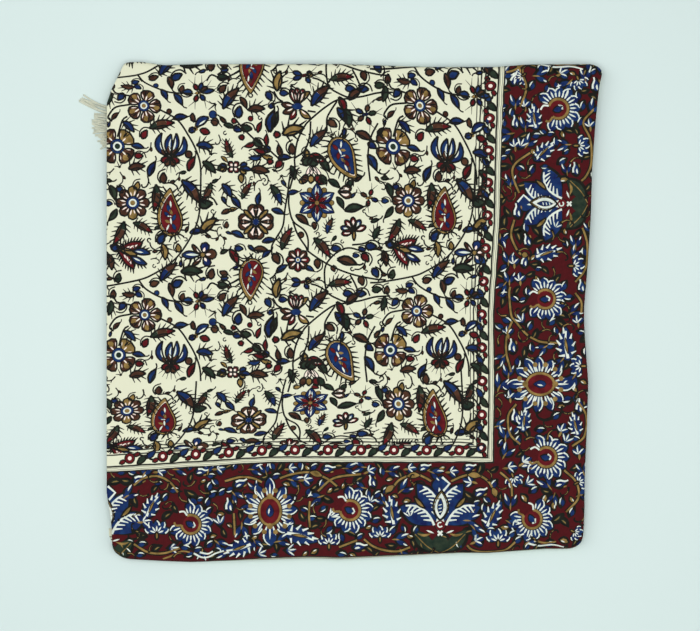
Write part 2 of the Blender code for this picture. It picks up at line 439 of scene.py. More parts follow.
def dye(red, green, blue):
    """A colour as it looks on a screen, 0 to 255, as the shader's own numbers."""
    return tuple((c / 255 / 12.92 if c < 11 else ((c / 255 + 0.055) / 1.055) ** 2.4)
                 for c in (red, green, blue)) + (1.0,)


# %% [markdown]
# ## The ground of the print
#
# A hand printer lays the ground first: the cream cloth stays bare in the field, a wide madder band goes
# round it, and thin lines guard the band on both sides. All of that depends on one number, the distance
# from the band's inner edge, so the material works it out from the flat places in the UV map. The UV map
# holds the print's own places, which drift a few millimetres from the cloth's, as blocks set down by
# hand do.

# %% Where the blocks were set down
BAND_U, BAND_V = 144.0, -149.0
BAND_WIDTH = 91.0
RIGHT_STRETCH, FRONT_STRETCH = 0.945, 0.965
RIGHT_DRIFT = ((-282, -1), (-148, -1), (0, 0), (92, 4), (246, 5), (300, 5))
FRONT_DRIFT = ((-243, -10), (-160, -4), (-82, 0), (0, 0), (143, -2), (270, -2))
DRIFT_REACH = 124.0


def drift(u, v):
    """How far the print has moved from its straight layout at a flat place."""
    right = read_table(RIGHT_DRIFT, v) * soft_step((u - BAND_U + DRIFT_REACH) / DRIFT_REACH)
    front = read_table(FRONT_DRIFT, u) * soft_step((BAND_V + DRIFT_REACH - v) / DRIFT_REACH)
    return right, front


BAND_U_LOW = U_LOW + (U_HIGH - BAND_U)
BAND_V_HIGH = V_HIGH - (BAND_V - V_LOW)

# Lines beside the band as (distance from its inner edge, width).
GUARD_LINES = (
    (-22.0, 0.8), (-18.9, 1.3), (-15.3, 1.3), (-4.4, 1.6), (-2.9, 0.35), (-1.2, 0.4), (0.7, 1.6),
    (91.5, 1.6), (93.3, 0.5), (95.0, 1.2), (107.0, 1.0), (110.5, 1.0),
)
CREAM = dye(226, 227, 201)
MADDER = dye(62, 9, 14)
BLACK = dye(33, 34, 30)
# The weave, in metres.
THREAD_PITCH = 0.00052
WEAVE_DEPTH, WEAVE_STRENGTH = 0.00006, 0.6


def thread_height(paint, where, split):
    """Plain weave: two sets of threads that go over and under each other, uneven in thickness."""
    turns = 2 * math.pi / THREAD_PITCH
    uneven = paint.noise(where, 900.0) * 2.5
    warp = (split[0] * turns + uneven).sine()
    weft = (split[1] * turns + uneven).sine()
    return warp * weft


def woven(paint, colour, where, split):
    """Finishes a material with the weave's relief."""
    return paint.finish(colour, thread_height(paint, where, split), WEAVE_DEPTH, WEAVE_STRENGTH)


def printed_ground():
    paint = Paint("printed_cotton_ground", 0.88)
    uv, split = paint.flat_places()
    waver = (paint.noise(uv, 70.0) - 0.5) * 1.6
    u, v = split[0] / MM + waver, split[1] / MM + waver
    right, left = (u - BAND_U) * RIGHT_STRETCH, BAND_U_LOW - u
    front, back = (BAND_V - v) * FRONT_STRETCH, v - BAND_V_HIGH
    away = right.top(left).top(front).top(back)
    patches = paint.noise(uv, 28.0, 4.0)
    colour = paint.mix(patches * 0.5, CREAM, dye(216, 214, 186))
    band = away.within(0.0, BAND_WIDTH, 0.5)
    madder = paint.mix(paint.noise(uv, 260.0, 3.0), MADDER, dye(84, 16, 21))
    colour = paint.mix(band, colour, madder)
    for at, width in GUARD_LINES:
        colour = paint.mix(away.within(at - width / 2, at + width / 2, 0.45), colour, BLACK)
    return woven(paint, colour, uv, split)


# %% [markdown]
# Dye goes through thin cotton, so the back isn't plain: it shows the same band and a blur of the
# flowers, all much paler. The turned-under hems and the whole underside of the package show this side.

# %% The paler back of the cloth
FAR_INSIDE = 3000.0


def bled_through():
    paint = Paint("printed_cotton_back", 0.92)
    uv, split = paint.flat_places()
    u, v = split[0] / MM, split[1] / MM
    away = (u - BAND_U).top(BAND_U_LOW - u).top(BAND_V - v).top(v - BAND_V_HIGH)
    inside_print = away.within(-FAR_INSIDE, BAND_WIDTH, 2.0)
    blots = (paint.noise(uv, 75.0, 5.0) - 0.5) * 5.0
    blots = blots.top(0.0).bottom(1.0) * inside_print
    colour = paint.mix(blots * 0.55, dye(222, 215, 192), dye(150, 132, 118))
    other = ((paint.noise(uv, 96.0, 3.0) - 0.54) * 8.0).top(0.0).bottom(1.0) * inside_print
    colour = paint.mix(other * 0.5, colour, dye(112, 116, 140))
    band = away.within(0.0, BAND_WIDTH, 1.2)
    colour = paint.mix(band * 0.62, colour, dye(132, 72, 70))
    return woven(paint, colour, uv, split)


# %% [markdown]
# ## The sheet
#
# One grid makes all nine layers. Its lines are close together on the printed top, where creases and
# light play, and far apart inside the pile. Solidify gives it both faces and its thickness.

# %% Mesh from arrays, and modifiers turned into plain mesh
def mesh_from(name, points, faces, materials=()):
    mesh = bpy.data.meshes.new(name)
    mesh.from_pydata([tuple(p) for p in points], [], [tuple(f) for f in faces])
    for material in materials:
        mesh.materials.append(material)
    return mesh


def shown(name, mesh):
    made = bpy.data.objects.new(name, mesh)
    bpy.context.scene.collection.objects.link(made)
    return made


def settled(made):
    """Turns an object's modifiers into plain mesh."""
    bpy.context.view_layer.update()
    graph = bpy.context.evaluated_depsgraph_get()
    mesh = bpy.data.meshes.new_from_object(made.evaluated_get(graph))
    made.modifiers.clear()
    made.data = mesh
    mesh.name = made.name
    return made


def triangles(made):
    return sum(len(face.vertices) - 2 for face in made.data.polygons)


# %% The folded sheet
rows, columns = places.shape[:2]
number = np.arange(rows * columns).reshape(rows, columns)
quads = np.stack([number[:-1, :-1], number[:-1, 1:], number[1:, 1:], number[1:, :-1]], axis=-1)
drift_u, drift_v = drift(grid_u, grid_v)
print_places = np.stack([grid_u - drift_u, grid_v - drift_v], axis=-1).reshape(-1, 2) * MM
sheet_mesh = mesh_from("folded_cloth", places.reshape(-1, 3) * MM, quads.reshape(-1, 4),
                       (printed_ground(), bled_through()))
uv_layer = sheet_mesh.uv_layers.new(name="print")
corners = np.zeros(len(sheet_mesh.loops), dtype=np.int32)
sheet_mesh.loops.foreach_get("vertex_index", corners)
uv_layer.data.foreach_set("uv", print_places[corners].ravel().astype(np.float32))
sheet_mesh.shade_smooth()
cloth = shown("folded_cloth", sheet_mesh)
thicken = cloth.modifiers.new("sheet", "SOLIDIFY")
thicken.thickness = SHEET * MM
thicken.offset = 0.0
thicken.use_even_offset = True
thicken.material_offset = 1
thicken.material_offset_rim = 1
settled(cloth)
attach(cloth, "root")
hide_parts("cloth")
print("sheet triangles", triangles(cloth))

# %% [markdown]
# ## The fringe
#
# The hem carries a fringe of undyed cotton, and a short length of it comes out at the left edge. Each
# tassel end is two plies twisted round each other, so a Geometry Nodes tree turns drawn lines into
# yarn: the lines are placed here and the tree gives them their round section.

# %% The tree that makes yarn from lines
def new_tree(name):
    tree = bpy.data.node_groups.new(name, "GeometryNodeTree")
    tree.interface.new_socket("Geometry", in_out="INPUT", socket_type="NodeSocketGeometry")
    tree.interface.new_socket("Geometry", in_out="OUTPUT", socket_type="NodeSocketGeometry")
    return tree


def tree_node(tree, kind, settings=None, inputs=None):
    made = tree.nodes.new(kind)
    for name, value in (settings or {}).items():
        setattr(made, name, value)
    for name, value in (inputs or {}).items():
        if isinstance(value, bpy.types.NodeSocket):
            tree.links.new(value, made.inputs[name])
        else:
            made.inputs[name].default_value = value
    return made


def named_input(tree, name, kind, value):
    made = tree.interface.new_socket(name, in_out="INPUT", socket_type="NodeSocket" + kind)
    if value is not None:
        made.default_value = value
    return made.identifier


def end_tree(tree, geometry, material):
    """Makes the tree's geometry real, gives it its material and hands it out."""
    real = tree_node(tree, "GeometryNodeRealizeInstances", {}, {0: geometry})
    painted = tree_node(tree, "GeometryNodeSetMaterial", {},
                        {"Geometry": real.outputs[0], "Material": material})
    tree_node(tree, "NodeGroupOutput", {}, {0: painted.outputs[0]})


yarn_tree = new_tree("yarn_from_lines")
radius_id = named_input(yarn_tree, "Ply radius", "Float", 0.0003)
sides_id = named_input(yarn_tree, "Sides", "Int", 4)
colour_id = named_input(yarn_tree, "Finish", "Material", None)
start = tree_node(yarn_tree, "NodeGroupInput")
lines = tree_node(yarn_tree, "GeometryNodeMeshToCurve", {}, {0: start.outputs["Geometry"]})
circle = tree_node(yarn_tree, "GeometryNodeCurvePrimitiveCircle", {},
                   {"Resolution": start.outputs["Sides"], "Radius": start.outputs["Ply radius"]})
tube = tree_node(yarn_tree, "GeometryNodeCurveToMesh", {},
                 {"Curve": lines.outputs[0], "Profile Curve": circle.outputs[0], "Fill Caps": True})
end_tree(yarn_tree, tube.outputs[0], start.outputs["Finish"])


def run_tree(made, tree, values):
    """Gives an object a tree with its inputs set, and turns the result into plain mesh."""
    modifier = made.modifiers.new(tree.name, "NODES")
    modifier.node_group = tree
    for identifier, value in values.items():
        modifier[identifier] = value
    return settled(made)


# %% Undyed cotton yarn, partly greyed with painted shade
def yarn_tone_and_painted_shade():
    paint = Paint("undyed_cotton_yarn", 0.95)
    where = paint.node("TexCoord", output=3)
    tone = paint.noise(where, 320.0, 3.0)
    # The darker greenish-grey end of this mix is partly the yarn's own uneven tone and partly painted shade:
    # the greyer look of strands lying low in the shadow by the cloth's edge.
    colour = paint.mix(tone, dye(226, 226, 206), dye(196, 200, 182))
    return paint.finish(colour, paint.noise(where, 4000.0, 2.0), 0.0002, 0.5)


# %% Draw the plies
YARNS = 46
FRINGE_FRONT, FRINGE_BACK = 166.0, 206.0
ROOT_X = LEFT + LEFT_HEM_INSET - HEM_REACH + 0.6
SHORT_YARN, LONG_YARN = 12.0, 20.0
LOCK_YARNS = 10
LOCK_LENGTH, LOCK_LEAN = 35.0, 15.0
PLY_STEPS = 14
PLY_GAP = 0.42
TWIST = 2.6
REST_HEIGHT, LOWEST = 0.62, 0.3
PLY_RADIUS = 0.00052
PLY_SIDES = 4
chance = np.random.default_rng(7)
points, edges = [], []
for yarn in range(YARNS):
    share = yarn / (YARNS - 1)
    root_y = FRINGE_FRONT + (FRINGE_BACK - FRINGE_FRONT) * share
    length = SHORT_YARN + (LONG_YARN - SHORT_YARN) * soft_step(2.2 * share) + chance.uniform(-2.5, 2.0)
    lean = chance.uniform(-3.0, 4.0)
    in_lock = yarn - (YARNS - LOCK_YARNS)
    if in_lock >= 0:
        length = LOCK_LENGTH - chance.uniform(0, 8)
        lean = LOCK_LEAN + chance.uniform(-3.0, 2.0) - in_lock * 0.4
    curl = chance.uniform(-1.3, 1.3)
    lift = chance.uniform(0.5, 1.9)
    turn = chance.uniform(0, 6.28)
    for ply in (0, 1):
        first = len(points)
        for step in range(PLY_STEPS):
            t = step / (PLY_STEPS - 1)
            twist = turn + ply * math.pi + t * length * TWIST / 2
            gap = PLY_GAP * (1 + 1.2 * max(t - 0.8, 0) * 5)
            x = ROOT_X - length * t + shift[0]
            y = root_y + lean * t ** 1.7 + curl * math.sin(3.1 * t) + gap * math.cos(twist) + shift[1]
            z = REST_HEIGHT + lift * math.sin(math.pi * min(t * 1.1, 1.0)) + gap * math.sin(twist)
            points.append((x * MM, y * MM, max(z, LOWEST) * MM))
        edges += [(a, a + 1) for a in range(first, len(points) - 1)]
ply_lines = bpy.data.meshes.new("fringe_yarns")
ply_lines.from_pydata(points, edges, [])
fringe = run_tree(shown("fringe_yarns", ply_lines), yarn_tree,
                  {radius_id: PLY_RADIUS, sides_id: PLY_SIDES, colour_id: yarn_tone_and_painted_shade()})
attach(fringe, "root")
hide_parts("fringe")
print("fringe triangles", triangles(fringe))

# %% [markdown]
# ## The motifs
#
# Carved blocks print outlines and flat dyes. Each motif here is a small drawing made of strips: a blade
# is a leaf or petal along a bent spine, a line is a stem or outline, and a row of hairs is what the
# carver cuts to soften a leaf's edge. The strips lie in thin layers, outlines above colours, so each dye
# becomes one mesh a tenth of a millimetre above the sheet.

# %% Strips of dye
LAYERS = (0.05, 0.075, 0.10, 0.13, 0.16, 0.20)
FILL, OVER, LIGHT, LINE, EYE, PUPIL = range(6)
OUTLINE = 1.7


def smooth(points, spacing=2.1):
    """A soft curve through a few points, sampled about every spacing millimetres."""
    points = np.asarray(points, float)
    padded = np.vstack([2 * points[0] - points[1], points, 2 * points[-1] - points[-2]])
    curve = []
    for a, b, c, d in zip(padded, padded[1:], padded[2:], padded[3:]):
        count = max(2, round(float(np.hypot(*(c - b))) / spacing))
        t = np.arange(count)[:, None] / count
        curve.append(0.5 * (2 * b + (c - a) * t + (2 * a - 5 * b + 4 * c - d) * t ** 2
                            + (3 * b - a - 3 * c + d) * t ** 3))
    return np.vstack([*curve, points[-1:]])


def sideways(points):
    """The unit direction to the left of a line at each of its points."""
    way = np.gradient(points, axis=0)
    way /= np.maximum(np.hypot(way[:, 0], way[:, 1]), 1e-9)[:, None]
    return np.stack([-way[:, 1], way[:, 0]], axis=1)


def polar(radius, degrees, x=0.0, y=0.0):
    turn = math.radians(degrees)
    return x + radius * math.cos(turn), y + radius * math.sin(turn)


class Motif:
    """Strips of dye around the motif's own middle, X along it and Y to its left."""

    def __init__(self):
        self.strips = []

    def strip(self, colour, left, right, layer=FILL):
        height = LAYERS[layer] + 0.00025 * len(self.strips)
        self.strips.append((colour, height, np.asarray(left), np.asarray(right)))

    def line(self, points, width=OUTLINE, colour="black", layer=LINE, taper=0.0, soft=True):
        points = smooth(points) if soft else np.asarray(points, float)
        half = width / 2 * (1 - taper * np.linspace(0, 1, len(points)))[:, None] * sideways(points)
        self.strip(colour, points + half, points - half, layer)

    def blade(self, colour, start, end, width, bend=0.0, belly=0.5, blunt=0.85, part=(0, 1),
              edge=OUTLINE, layer=FILL):
        """A leaf or petal. Returns its left and right edges."""
        start, end = np.asarray(start, float), np.asarray(end, float)
        span = end - start
        length = float(np.hypot(*span))
        across_span = np.array([-span[1], span[0]])
        t = np.linspace(*part, int(np.clip(round(length * (part[1] - part[0]) / 2.1), 4, 12)))
        t = 0.5 - 0.5 * np.cos(np.pi * t) * (1 - 0.35 * np.sin(np.pi * t) ** 2)
        spine = start + t[:, None] * span + (2 * bend * t * (1 - t))[:, None] * across_span
        half = width / 2 * np.sin(np.pi * t ** (math.log(0.5) / math.log(belly))) ** blunt
        half = half[:, None] * sideways(spine)
        left, right = spine + half, spine - half
        self.strip(colour, left, right, layer)
        if edge:
            self.line(left, edge, soft=False)
            self.line(right, edge, soft=False)
        return left, right

    def streak(self, colour, start, end, width, bend=0.0, belly=0.5):
        """A light blade without an outline, on top of the colours."""
        self.blade(colour, start, end, width, bend, belly, edge=0, layer=LIGHT)

    def cover(self, colour, start, end, width, bend=0.0, belly=0.5, blunt=0.85):
        """A blade without an outline, over another one."""
        return self.blade(colour, start, end, width, bend, belly, blunt, edge=0, layer=OVER)

    def disc(self, colour, radius, x=0.0, y=0.0, layer=FILL, sections=8):
        turn = np.linspace(0, math.pi, sections + 1)
        places = x - radius * np.cos(turn)
        self.strip(colour, np.stack([places, y + radius * np.sin(turn)], 1),
                   np.stack([places, y - radius * np.sin(turn)], 1), layer)

    def ring(self, colour, radius, width, x=0.0, y=0.0, layer=LINE, open_from=0, open_to=360):
        turn = np.radians(np.linspace(open_from, open_to, 15))
        way = np.stack([np.cos(turn), np.sin(turn)], 1)
        middle = np.array([x, y])
        self.strip(colour, middle + way * (radius + width / 2), middle + way * (radius - width / 2), layer)

    def hairs(self, edge, length, pitch=3.4, side=1, lean=0.5, colour="black", width=2.4):
        """Short tapered strokes off an edge, side 1 to its left and -1 to its right."""
        steps = np.hypot(*np.diff(edge, axis=0).T)
        walked_edge = np.concatenate([[0.0], np.cumsum(steps)])
        out = sideways(edge) * side
        way = np.stack([out[:, 1], -out[:, 0]], 1) * side
        for at in np.arange(pitch * 0.7, walked_edge[-1] - pitch * 0.3, pitch):
            root = np.array([np.interp(at, walked_edge, edge[:, k]) for k in (0, 1)])
            up = np.array([np.interp(at, walked_edge, (out + lean * way)[:, k]) for k in (0, 1)])
            up /= max(float(np.hypot(*up)), 1e-9)
            beside = np.array([-up[1], up[0]]) * width / 2
            tip = root + up * length
            self.strip(colour, [root - up * 0.4 + beside, tip + beside * 0.35],
                       [root - up * 0.4 - beside, tip - beside * 0.35], LINE)

    def curl(self, x, y, radius=2.9, start=0, sweep=300, width=1.4):
        turn = np.radians(start + np.linspace(0, sweep, 9))
        reach = radius * (1 - 0.45 * np.linspace(0, 1, 9))
        self.line(np.stack([x + reach * np.cos(turn), y + reach * np.sin(turn)], 1), width, soft=False)


# %% List the motifs that are drawn one way only
KINDS = {}


def motif(draw):
    """Lets a function draw on a new motif, which is listed under the function's name."""
    made = Motif()
    draw(made)
    KINDS[draw.__name__] = made
    return draw


# %% [markdown]
# Most small motifs differ only in dye, length and hairs, so one function draws them, pointing along X. A
# leaf of two or three dyes was coloured by hand on one outline: the dyes meet across the leaf.

# %% Leaves and buds
def leaf(dyes, length, width, hairs=0.0, bend=0.12, tail=4.5):
    made = Motif()
    start, end = (-length / 2, 0.0), (length / 2, 0.0)
    for number, colour in enumerate(dyes):
        part = (number / len(dyes), (number + 1) / len(dyes))
        made.blade(colour, start, end, width, bend, 0.45, 1.05, part=part, edge=0)
    if length > 12:
        rib = (-length * 0.42, -width * 0.12), (length * 0.3, -width * 0.18)
        made.cover("black", *rib, width * 0.22, bend)
    left, right = Motif().blade("black", start, end, width, bend, 0.45, 1.05)
    made.line(left, soft=False)
    made.line(right, soft=False)
    if hairs:
        made.hairs(left, hairs * 1.4, 4.2, 1, 0.9, width=1.9)
        made.hairs(right, hairs * 1.2, 4.5, -1, 0.7, width=1.9)
    if tail:
        tip = length / 2
        made.line([(tip - 1, 0), (tip + tail * 0.5, 0.3), (tip + tail, tail * 0.5)], 1.35)
    return made


def bud(colour, length, width, curl=True):
    made = Motif()
    made.blade(colour, (-length / 2, 0), (length / 2, 0), width, 0.1, 0.42, 1.0)
    if curl:
        made.line([(-length * 0.5, width * 0.45), (0, width * 0.85), (length * 0.55, width * 0.6),
                   (length * 0.8, -width * 0.25)], 1.35)
    return made


def round_bud(colour, radius):
    made = Motif()
    made.disc(colour, radius)
    made.ring("black", radius, 1.1)
    return made


@motif
def hollow_ring(made):
    made.ring("black", 1.7, 0.95)


@motif
def curled_hook(made):
    made.curl(0, 0, 2.6, 200, 250)
    made.disc("black", 0.9, *polar(1.4, 90), layer=LINE, sections=5)


@motif
def tuft(made):
    """Three short strokes from one root, which fill a gap on the block."""
    for degrees in (-38, 0, 34):
        tip = polar(9.5 - abs(degrees) / 16, degrees * 1.5)
        made.line([polar(0.5, degrees), polar(4, degrees), tip], 1.7, taper=0.6)


@motif
def hook(made):
    made.line([(-6.5, -2), (-1.5, 1.2), (3.5, 1), (5.6, -2), (3.2, -4)], 1.5)
    made.line([(-1.5, 1.2), (0.5, 4.2)], 1.4, taper=0.5)


@motif
def tendril(made):
    """A long thin stem that winds between the motifs and ends in a curl."""
    made.line([(-9, -3.5), (-4, 0.8), (2, 1.8), (6.5, -1)], 1.5)
    made.curl(8.2, -2.6, 2.3, 120, -260, 1.4)
    made.blade("brown", (-5, 0.5), (-1.5, 4.8), 2.8, edge=1.3)


# %% [markdown]
# The flowers are rosettes: petals round an eye, with light streaks that the block leaves uncut. The
# paisley is a drop with a rim, a darker body, a small sprig inside and hairs all round.

# %% Rosettes and paisleys
def rosette(radius, petals, dyes, eye, streaks=3, rim="ochre", blunt=0.55, offset=0.0):
    made = Motif()
    step = 360 / petals
    for k in range(petals):
        at = offset + k * step
        width = 2 * math.pi * radius / petals * (0.72 if petals > 5 else 0.64)
        made.blade(dyes[k % len(dyes)], polar(eye * 0.6, at), polar(radius, at), width, 0.0, 0.66, blunt)
        if petals < 6:
            made.cover("ochre", polar(radius * 0.55, at - 9), polar(radius * 0.93, at - 7), width * 0.38)
            made.cover("black", polar(radius * 0.55, at + 12), polar(radius * 0.96, at + 9), width * 0.14)
            made.line([polar(radius * 0.72, at + 3), polar(radius * 0.98, at)], 1.2, taper=0.4, soft=False)
        for s in range(streaks):
            turn = at + (s - (streaks - 1) / 2) * step / max(streaks, 1)
            reach = radius * (0.66 if s % 2 else 0.76)
            made.streak("pink", polar(eye * 0.95, turn), polar(reach, turn), 1.6)
    made.disc("black", eye + 0.5, layer=LIGHT, sections=10)
    for colour, share, layer in (("blue", 1.0, LINE), ("white", 0.66, EYE), (rim, 0.42, PUPIL)):
        made.disc(colour, eye * share - 0.2, layer=layer)
    return made


def paisley(length, width, bend, rim, body):
    """A drop with its round end at the left and its tip at the right."""
    made = Motif()
    start, end = np.array([-length / 2, 0.0]), np.array([length / 2, 0.0])
    left, right = made.blade(rim, start, end, width, bend, 0.34, 0.8, edge=1.3)
    made.blade("pink", start + (1.9, 0), end - (5.0, 0), width - 4.4, bend, 0.34, 0.8, edge=0)
    made.blade(body, start + (2.5, 0), end - (6.5, 0), width - 5.4, bend, 0.34, 0.8, edge=0.9, layer=OVER)
    made.hairs(left, 7.0, 4.9, 1, 0.35)
    made.hairs(right, 7.0, 4.9, -1, 0.35)
    for at in (150, 180, 210):
        whisker = [start + (4.5, 0) + polar(reach, at) for reach in (5, 10)]
        made.line(whisker, 1.35, taper=0.6, soft=False)
    other = "red" if body == "blue" else "blue"
    for x, y, turn, size, colour in (
            (-15, -3, 20, 8, other), (-9, 3.0, 60, 6, "ochre"), (-6, -4, -30, 8, other),
            (-2, 3.0, 40, 8, other), (4, 0.5, 10, 9, other), (-9, -0.5, 0, 7, "white"),
            (0, -1.5, 20, 6, "ochre"), (-15, 3.5, -30, 7, "white"), (8, -2.0, 0, 7, "white"),
            (-4, 0.5, 80, 5, "white"), (10, 1.0, -10, 6, "brown")):
        x, y = x * length / 48, y * width / 26 + bend * length * 0.42
        way = np.array(polar(size / 2, turn))
        made.blade(colour, (x, y) - way, (x, y) + way, size * (0.28 if colour == "white" else 0.5),
                   edge=0.6 if colour == other else 0, layer=LIGHT)
    return made


@motif
def star_flower(made):
    for k in range(6):
        at = 30 + 60 * k
        made.blade("blue", (0, 0), polar(20, at), 11.0, 0, 0.5, 1.05, edge=1.0)
        made.streak("white", polar(5, at + 16), polar(17, at + 3), 2.0)
        made.streak("white", polar(5, at - 16), polar(15, at - 4), 1.5)
        made.blade("red", (0, 0), polar(12, at), 4.6, edge=0.6, layer=LIGHT)
        made.disc("ochre", 2.6, *polar(14.5, at + 30))
        made.ring("black", 2.6, 0.7, *polar(14.5, at + 30))
    made.disc("ochre", 2.0, layer=LINE)


@motif
def heart_flower(made):
    for k in range(4):
        at = 90 * k
        for lean in (-15, 15):
            made.blade("brown", polar(3, at), polar(18, at + lean), 10.5, 0, 0.7, 0.6)
            made.cover("pink", polar(3, at), polar(14, at + lean * 0.9), 7.0, 0, 0.68, 0.7)
        made.streak("brown", polar(13, at), polar(7, at), 3.0)
        made.blade("ochre", polar(2, at + 45), polar(17, at + 45), 5.4, 0, 0.6, 1.0, layer=LIGHT)
    made.disc("blue", 3.0, layer=LINE)


@motif
def feathers(made):
    """A long ochre leaf between red striped wings with blue tips, pointing along X."""
    for side in (1, -1):
        left, right = made.blade("red", (-12, 1.5 * side), (9, 14 * side), 8.5, -0.12 * side, 0.55)
        made.hairs(left if side > 0 else right, 5.0, 2.8, side, 0.6)
        for x in (-3.5, 0.0, 3.5):
            made.streak("pink", (x - 2, side * (x * 0.55 + 4.0)), (x + 1.5, side * (x * 0.55 + 8.5)), 1.7)
        left, right = made.blade("blue", (2, 2.5 * side), (20, 5.5 * side), 6.5, 0.1 * side)
        made.hairs(left if side > 0 else right, 4.5, 3.0, side, 0.7)
        made.streak("white", (5, 3.5 * side), (13, 4.5 * side), 1.8)
    made.blade("ochre", (-12, 0), (8, 0), 6.5, 0.05, layer=OVER)
    made.blade("blue", (-12, 0), (-21, 1), 8.0, 0, 0.4)


@motif
def cross_flower(made):
    """Two blue and two brown petals and a long split blue one, round an ochre eye."""
    for at, colour, size, width in ((75, "blue", 13, 9), (-60, "blue", 13, 8), (5, "brown", 14, 10),
                                    (135, "brown", 15, 4), (-135, "brown", 15, 4)):
        made.blade(colour, polar(2, at), polar(size, at), width, 0.15 if width < 5 else 0, 0.6, 0.6)
        made.streak("pink", polar(2.5, at), polar(size * 0.6, at), 2.6)
    left, right = made.blade("blue", (-2, 0), (-21, 0), 8, 0, 0.6)
    made.hairs(left, 3.5, 4.0, 1)
    made.streak("white", (-4, 0), (-17, 0.5), 2.4)
    made.disc("ochre", 2.8, layer=LIGHT)
    made.ring("black", 2.8, 0.6)


@motif
def tulip(made):
    """A blue cup of curved petals with light streaks over a red foot with hairs."""
    for x0, x1, y1, bend, width in ((-3, -8, 15, 0.55, 6.5), (1, 1, 14, 0.25, 7.5), (3, 13, 12, -0.5, 6.5),
                                    (0, 6, 15, -0.2, 6.0)):
        made.blade("blue", (x0, -7), (x1, y1), width, bend, 0.5)
        made.streak("white", (x0 + x1 * 0.1, -4), (x1 * 0.85, y1 * 0.7), 1.7, bend)
    for at in (55, 100, 140):
        made.blade("brown", (0, -9), polar(12, at, 0, -9), 5.0, layer=OVER, edge=0.6)
    for at, colour in ((-150, "red"), (-115, "brown"), (-70, "brown"), (-35, "red")):
        made.blade(colour, (0, -8), polar(11, at, 0, -7), 6.0, 0, 0.6)
    made.disc("white", 1.8, 0, -8, layer=LIGHT)
    for degrees in range(-160, -15, 18):
        made.line([polar(8, degrees, 0, -8), polar(15.5, degrees, 0, -8)], 0.9, taper=0.6)


@motif
def lotus(made):
    for at, colour, light, size in (
            (95, "red", "pink", 14), (130, "red", "pink", 14), (60, "blue", "white", 13),
            (165, "blue", "white", 14), (20, "red", "pink", 13), (195, "red", "pink", 13)):
        made.blade(colour, (0, -4), polar(size, at, 0, -4), 6.2, 0, 0.6, 0.7)
        made.streak(light, polar(3, at, 0, -4), polar(size * 0.8, at, 0, -4), 2.7)
    made.blade("ochre", (0, -3), (0, -14), 3.4, layer=LIGHT)


@motif
def half_flower(made):
    for at in (70, 90, 110):
        made.blade("red", polar(2, at), polar(18, at), 7.0, 0, 0.6, 0.6)
        for lean in (-5, 3):
            made.streak("pink", polar(5, at + lean), polar(15.5, at + lean), 1.7)
    for at, colour, size, bend in ((48, "ochre", 19, 0.25), (-40, "ochre", 17, -0.2), (172, "brown", 16, 0.1),
                                   (205, "brown", 16, 0.1), (240, "red", 15, 0.1)):
        made.blade(colour, polar(3, at), polar(size, at), 6.0, bend, 0.55)
        made.streak("pink", polar(5, at), polar(size * 0.7, at), 1.5, bend)
    made.blade("blue", (-6, 0), (6, 0), 6.5, layer=LINE, edge=0)
    made.ring("black", 4.4, 0.6)


def spidery(eye_colour, petals):
    """A small flower of thin buds with long hairs. Each petal is (direction, dye, length)."""
    made = Motif()
    for at, colour, size in petals:
        made.line([(0, 0), polar(4, at)], 0.8)
        made.blade(colour, polar(2.5, at), polar(size, at), 4.6, 0, 0.5)
        for lean in (-14, 10):
            made.line([polar(size - 1, at), polar(size + 7, at + lean)], 0.85, taper=0.6)
    made.blade(eye_colour, (-4, -1), (4, 1), 3.4, layer=LIGHT, edge=0.5)
    return made


@motif
def quatrefoil(made):
    for at in (45, 135, 225, 315):
        made.blade("red", (0, 0), polar(7, at), 5.5, 0, 0.6, 0.6)
        made.streak("pink", (0, 0), polar(4.5, at), 3.0)
    for at, colour in ((10, "blue"), (170, "blue"), (-20, "ochre"), (190, "ochre")):
        made.blade(colour, polar(6.5, at), polar(14, at + (6 if at > 0 else -6)), 5.0)


@motif
def pomegranate(made):
    """A hanging flower: a dark cup, light petals and a fringe of coloured ends."""
    made.blade("green", (-5, 9), (6, 7), 9.0, 0.1)
    made.blade("red", (0, 13), (14, 11), 6.5, -0.1)
    made.streak("pink", (3, 12.3), (11, 11.3), 2.6)
    made.blade("ochre", (-5, 21), (-4, 12), 5.0)
    for x, colour in ((-7, "brown"), (-1, "ochre"), (6, "red"), (11, "green")):
        made.blade("pink", (0, 6), (x * 0.9, -5), 3.8, edge=0.9)
        made.blade(colour, (x * 0.7, -3), (x * 1.3, -12), 6.5, layer=OVER)
    made.curl(-12, 0, 3.0, 90, 250)
    made.curl(-10, 8, 2.2, 200, 250)
    made.line([(8, 4), (14, 0), (17, -7)], 1.1)


@motif
def bent_cluster(made):
    """A brown hook, a blue streaked petal and round buds strung on a short stem."""
    made.line([(-14, -8), (-4, -4), (4, 2), (12, 2), (18, -4)], 1.0)
    made.blade("blue", (-8, -4), (5, 5), 7.5, 0.15)
    made.streak("white", (-5, -2.5), (2, 2.5), 1.8)
    made.blade("brown", (-9, 0), (-11, 9), 5.0, 0.2)
    made.blade("brown", (7, 1), (15, 1), 8.0, 0, 0.5, 0.6)
    made.disc("blue", 3.8, 9, 8)
    made.ring("black", 3.8, 0.8, 9, 8)
    made.blade("red", (-4, -7), (6, -10), 6.5)
    made.blade("blue", (-8, -6), (-15, -9), 6.0)
    made.disc("ochre", 2.4, -8, -6, layer=LIGHT)


@motif
def heart_bud(made):
    for side in (1, -1):
        made.blade("brown", (-7, 0), (6.5, 4.5 * side), 8.0, 0, 0.65, 0.6)
        made.cover("pink", (-6, 0), (4, 3.2 * side), 5.0, 0, 0.65)
    made.streak("brown", (-6, 0), (4, 0), 1.6)
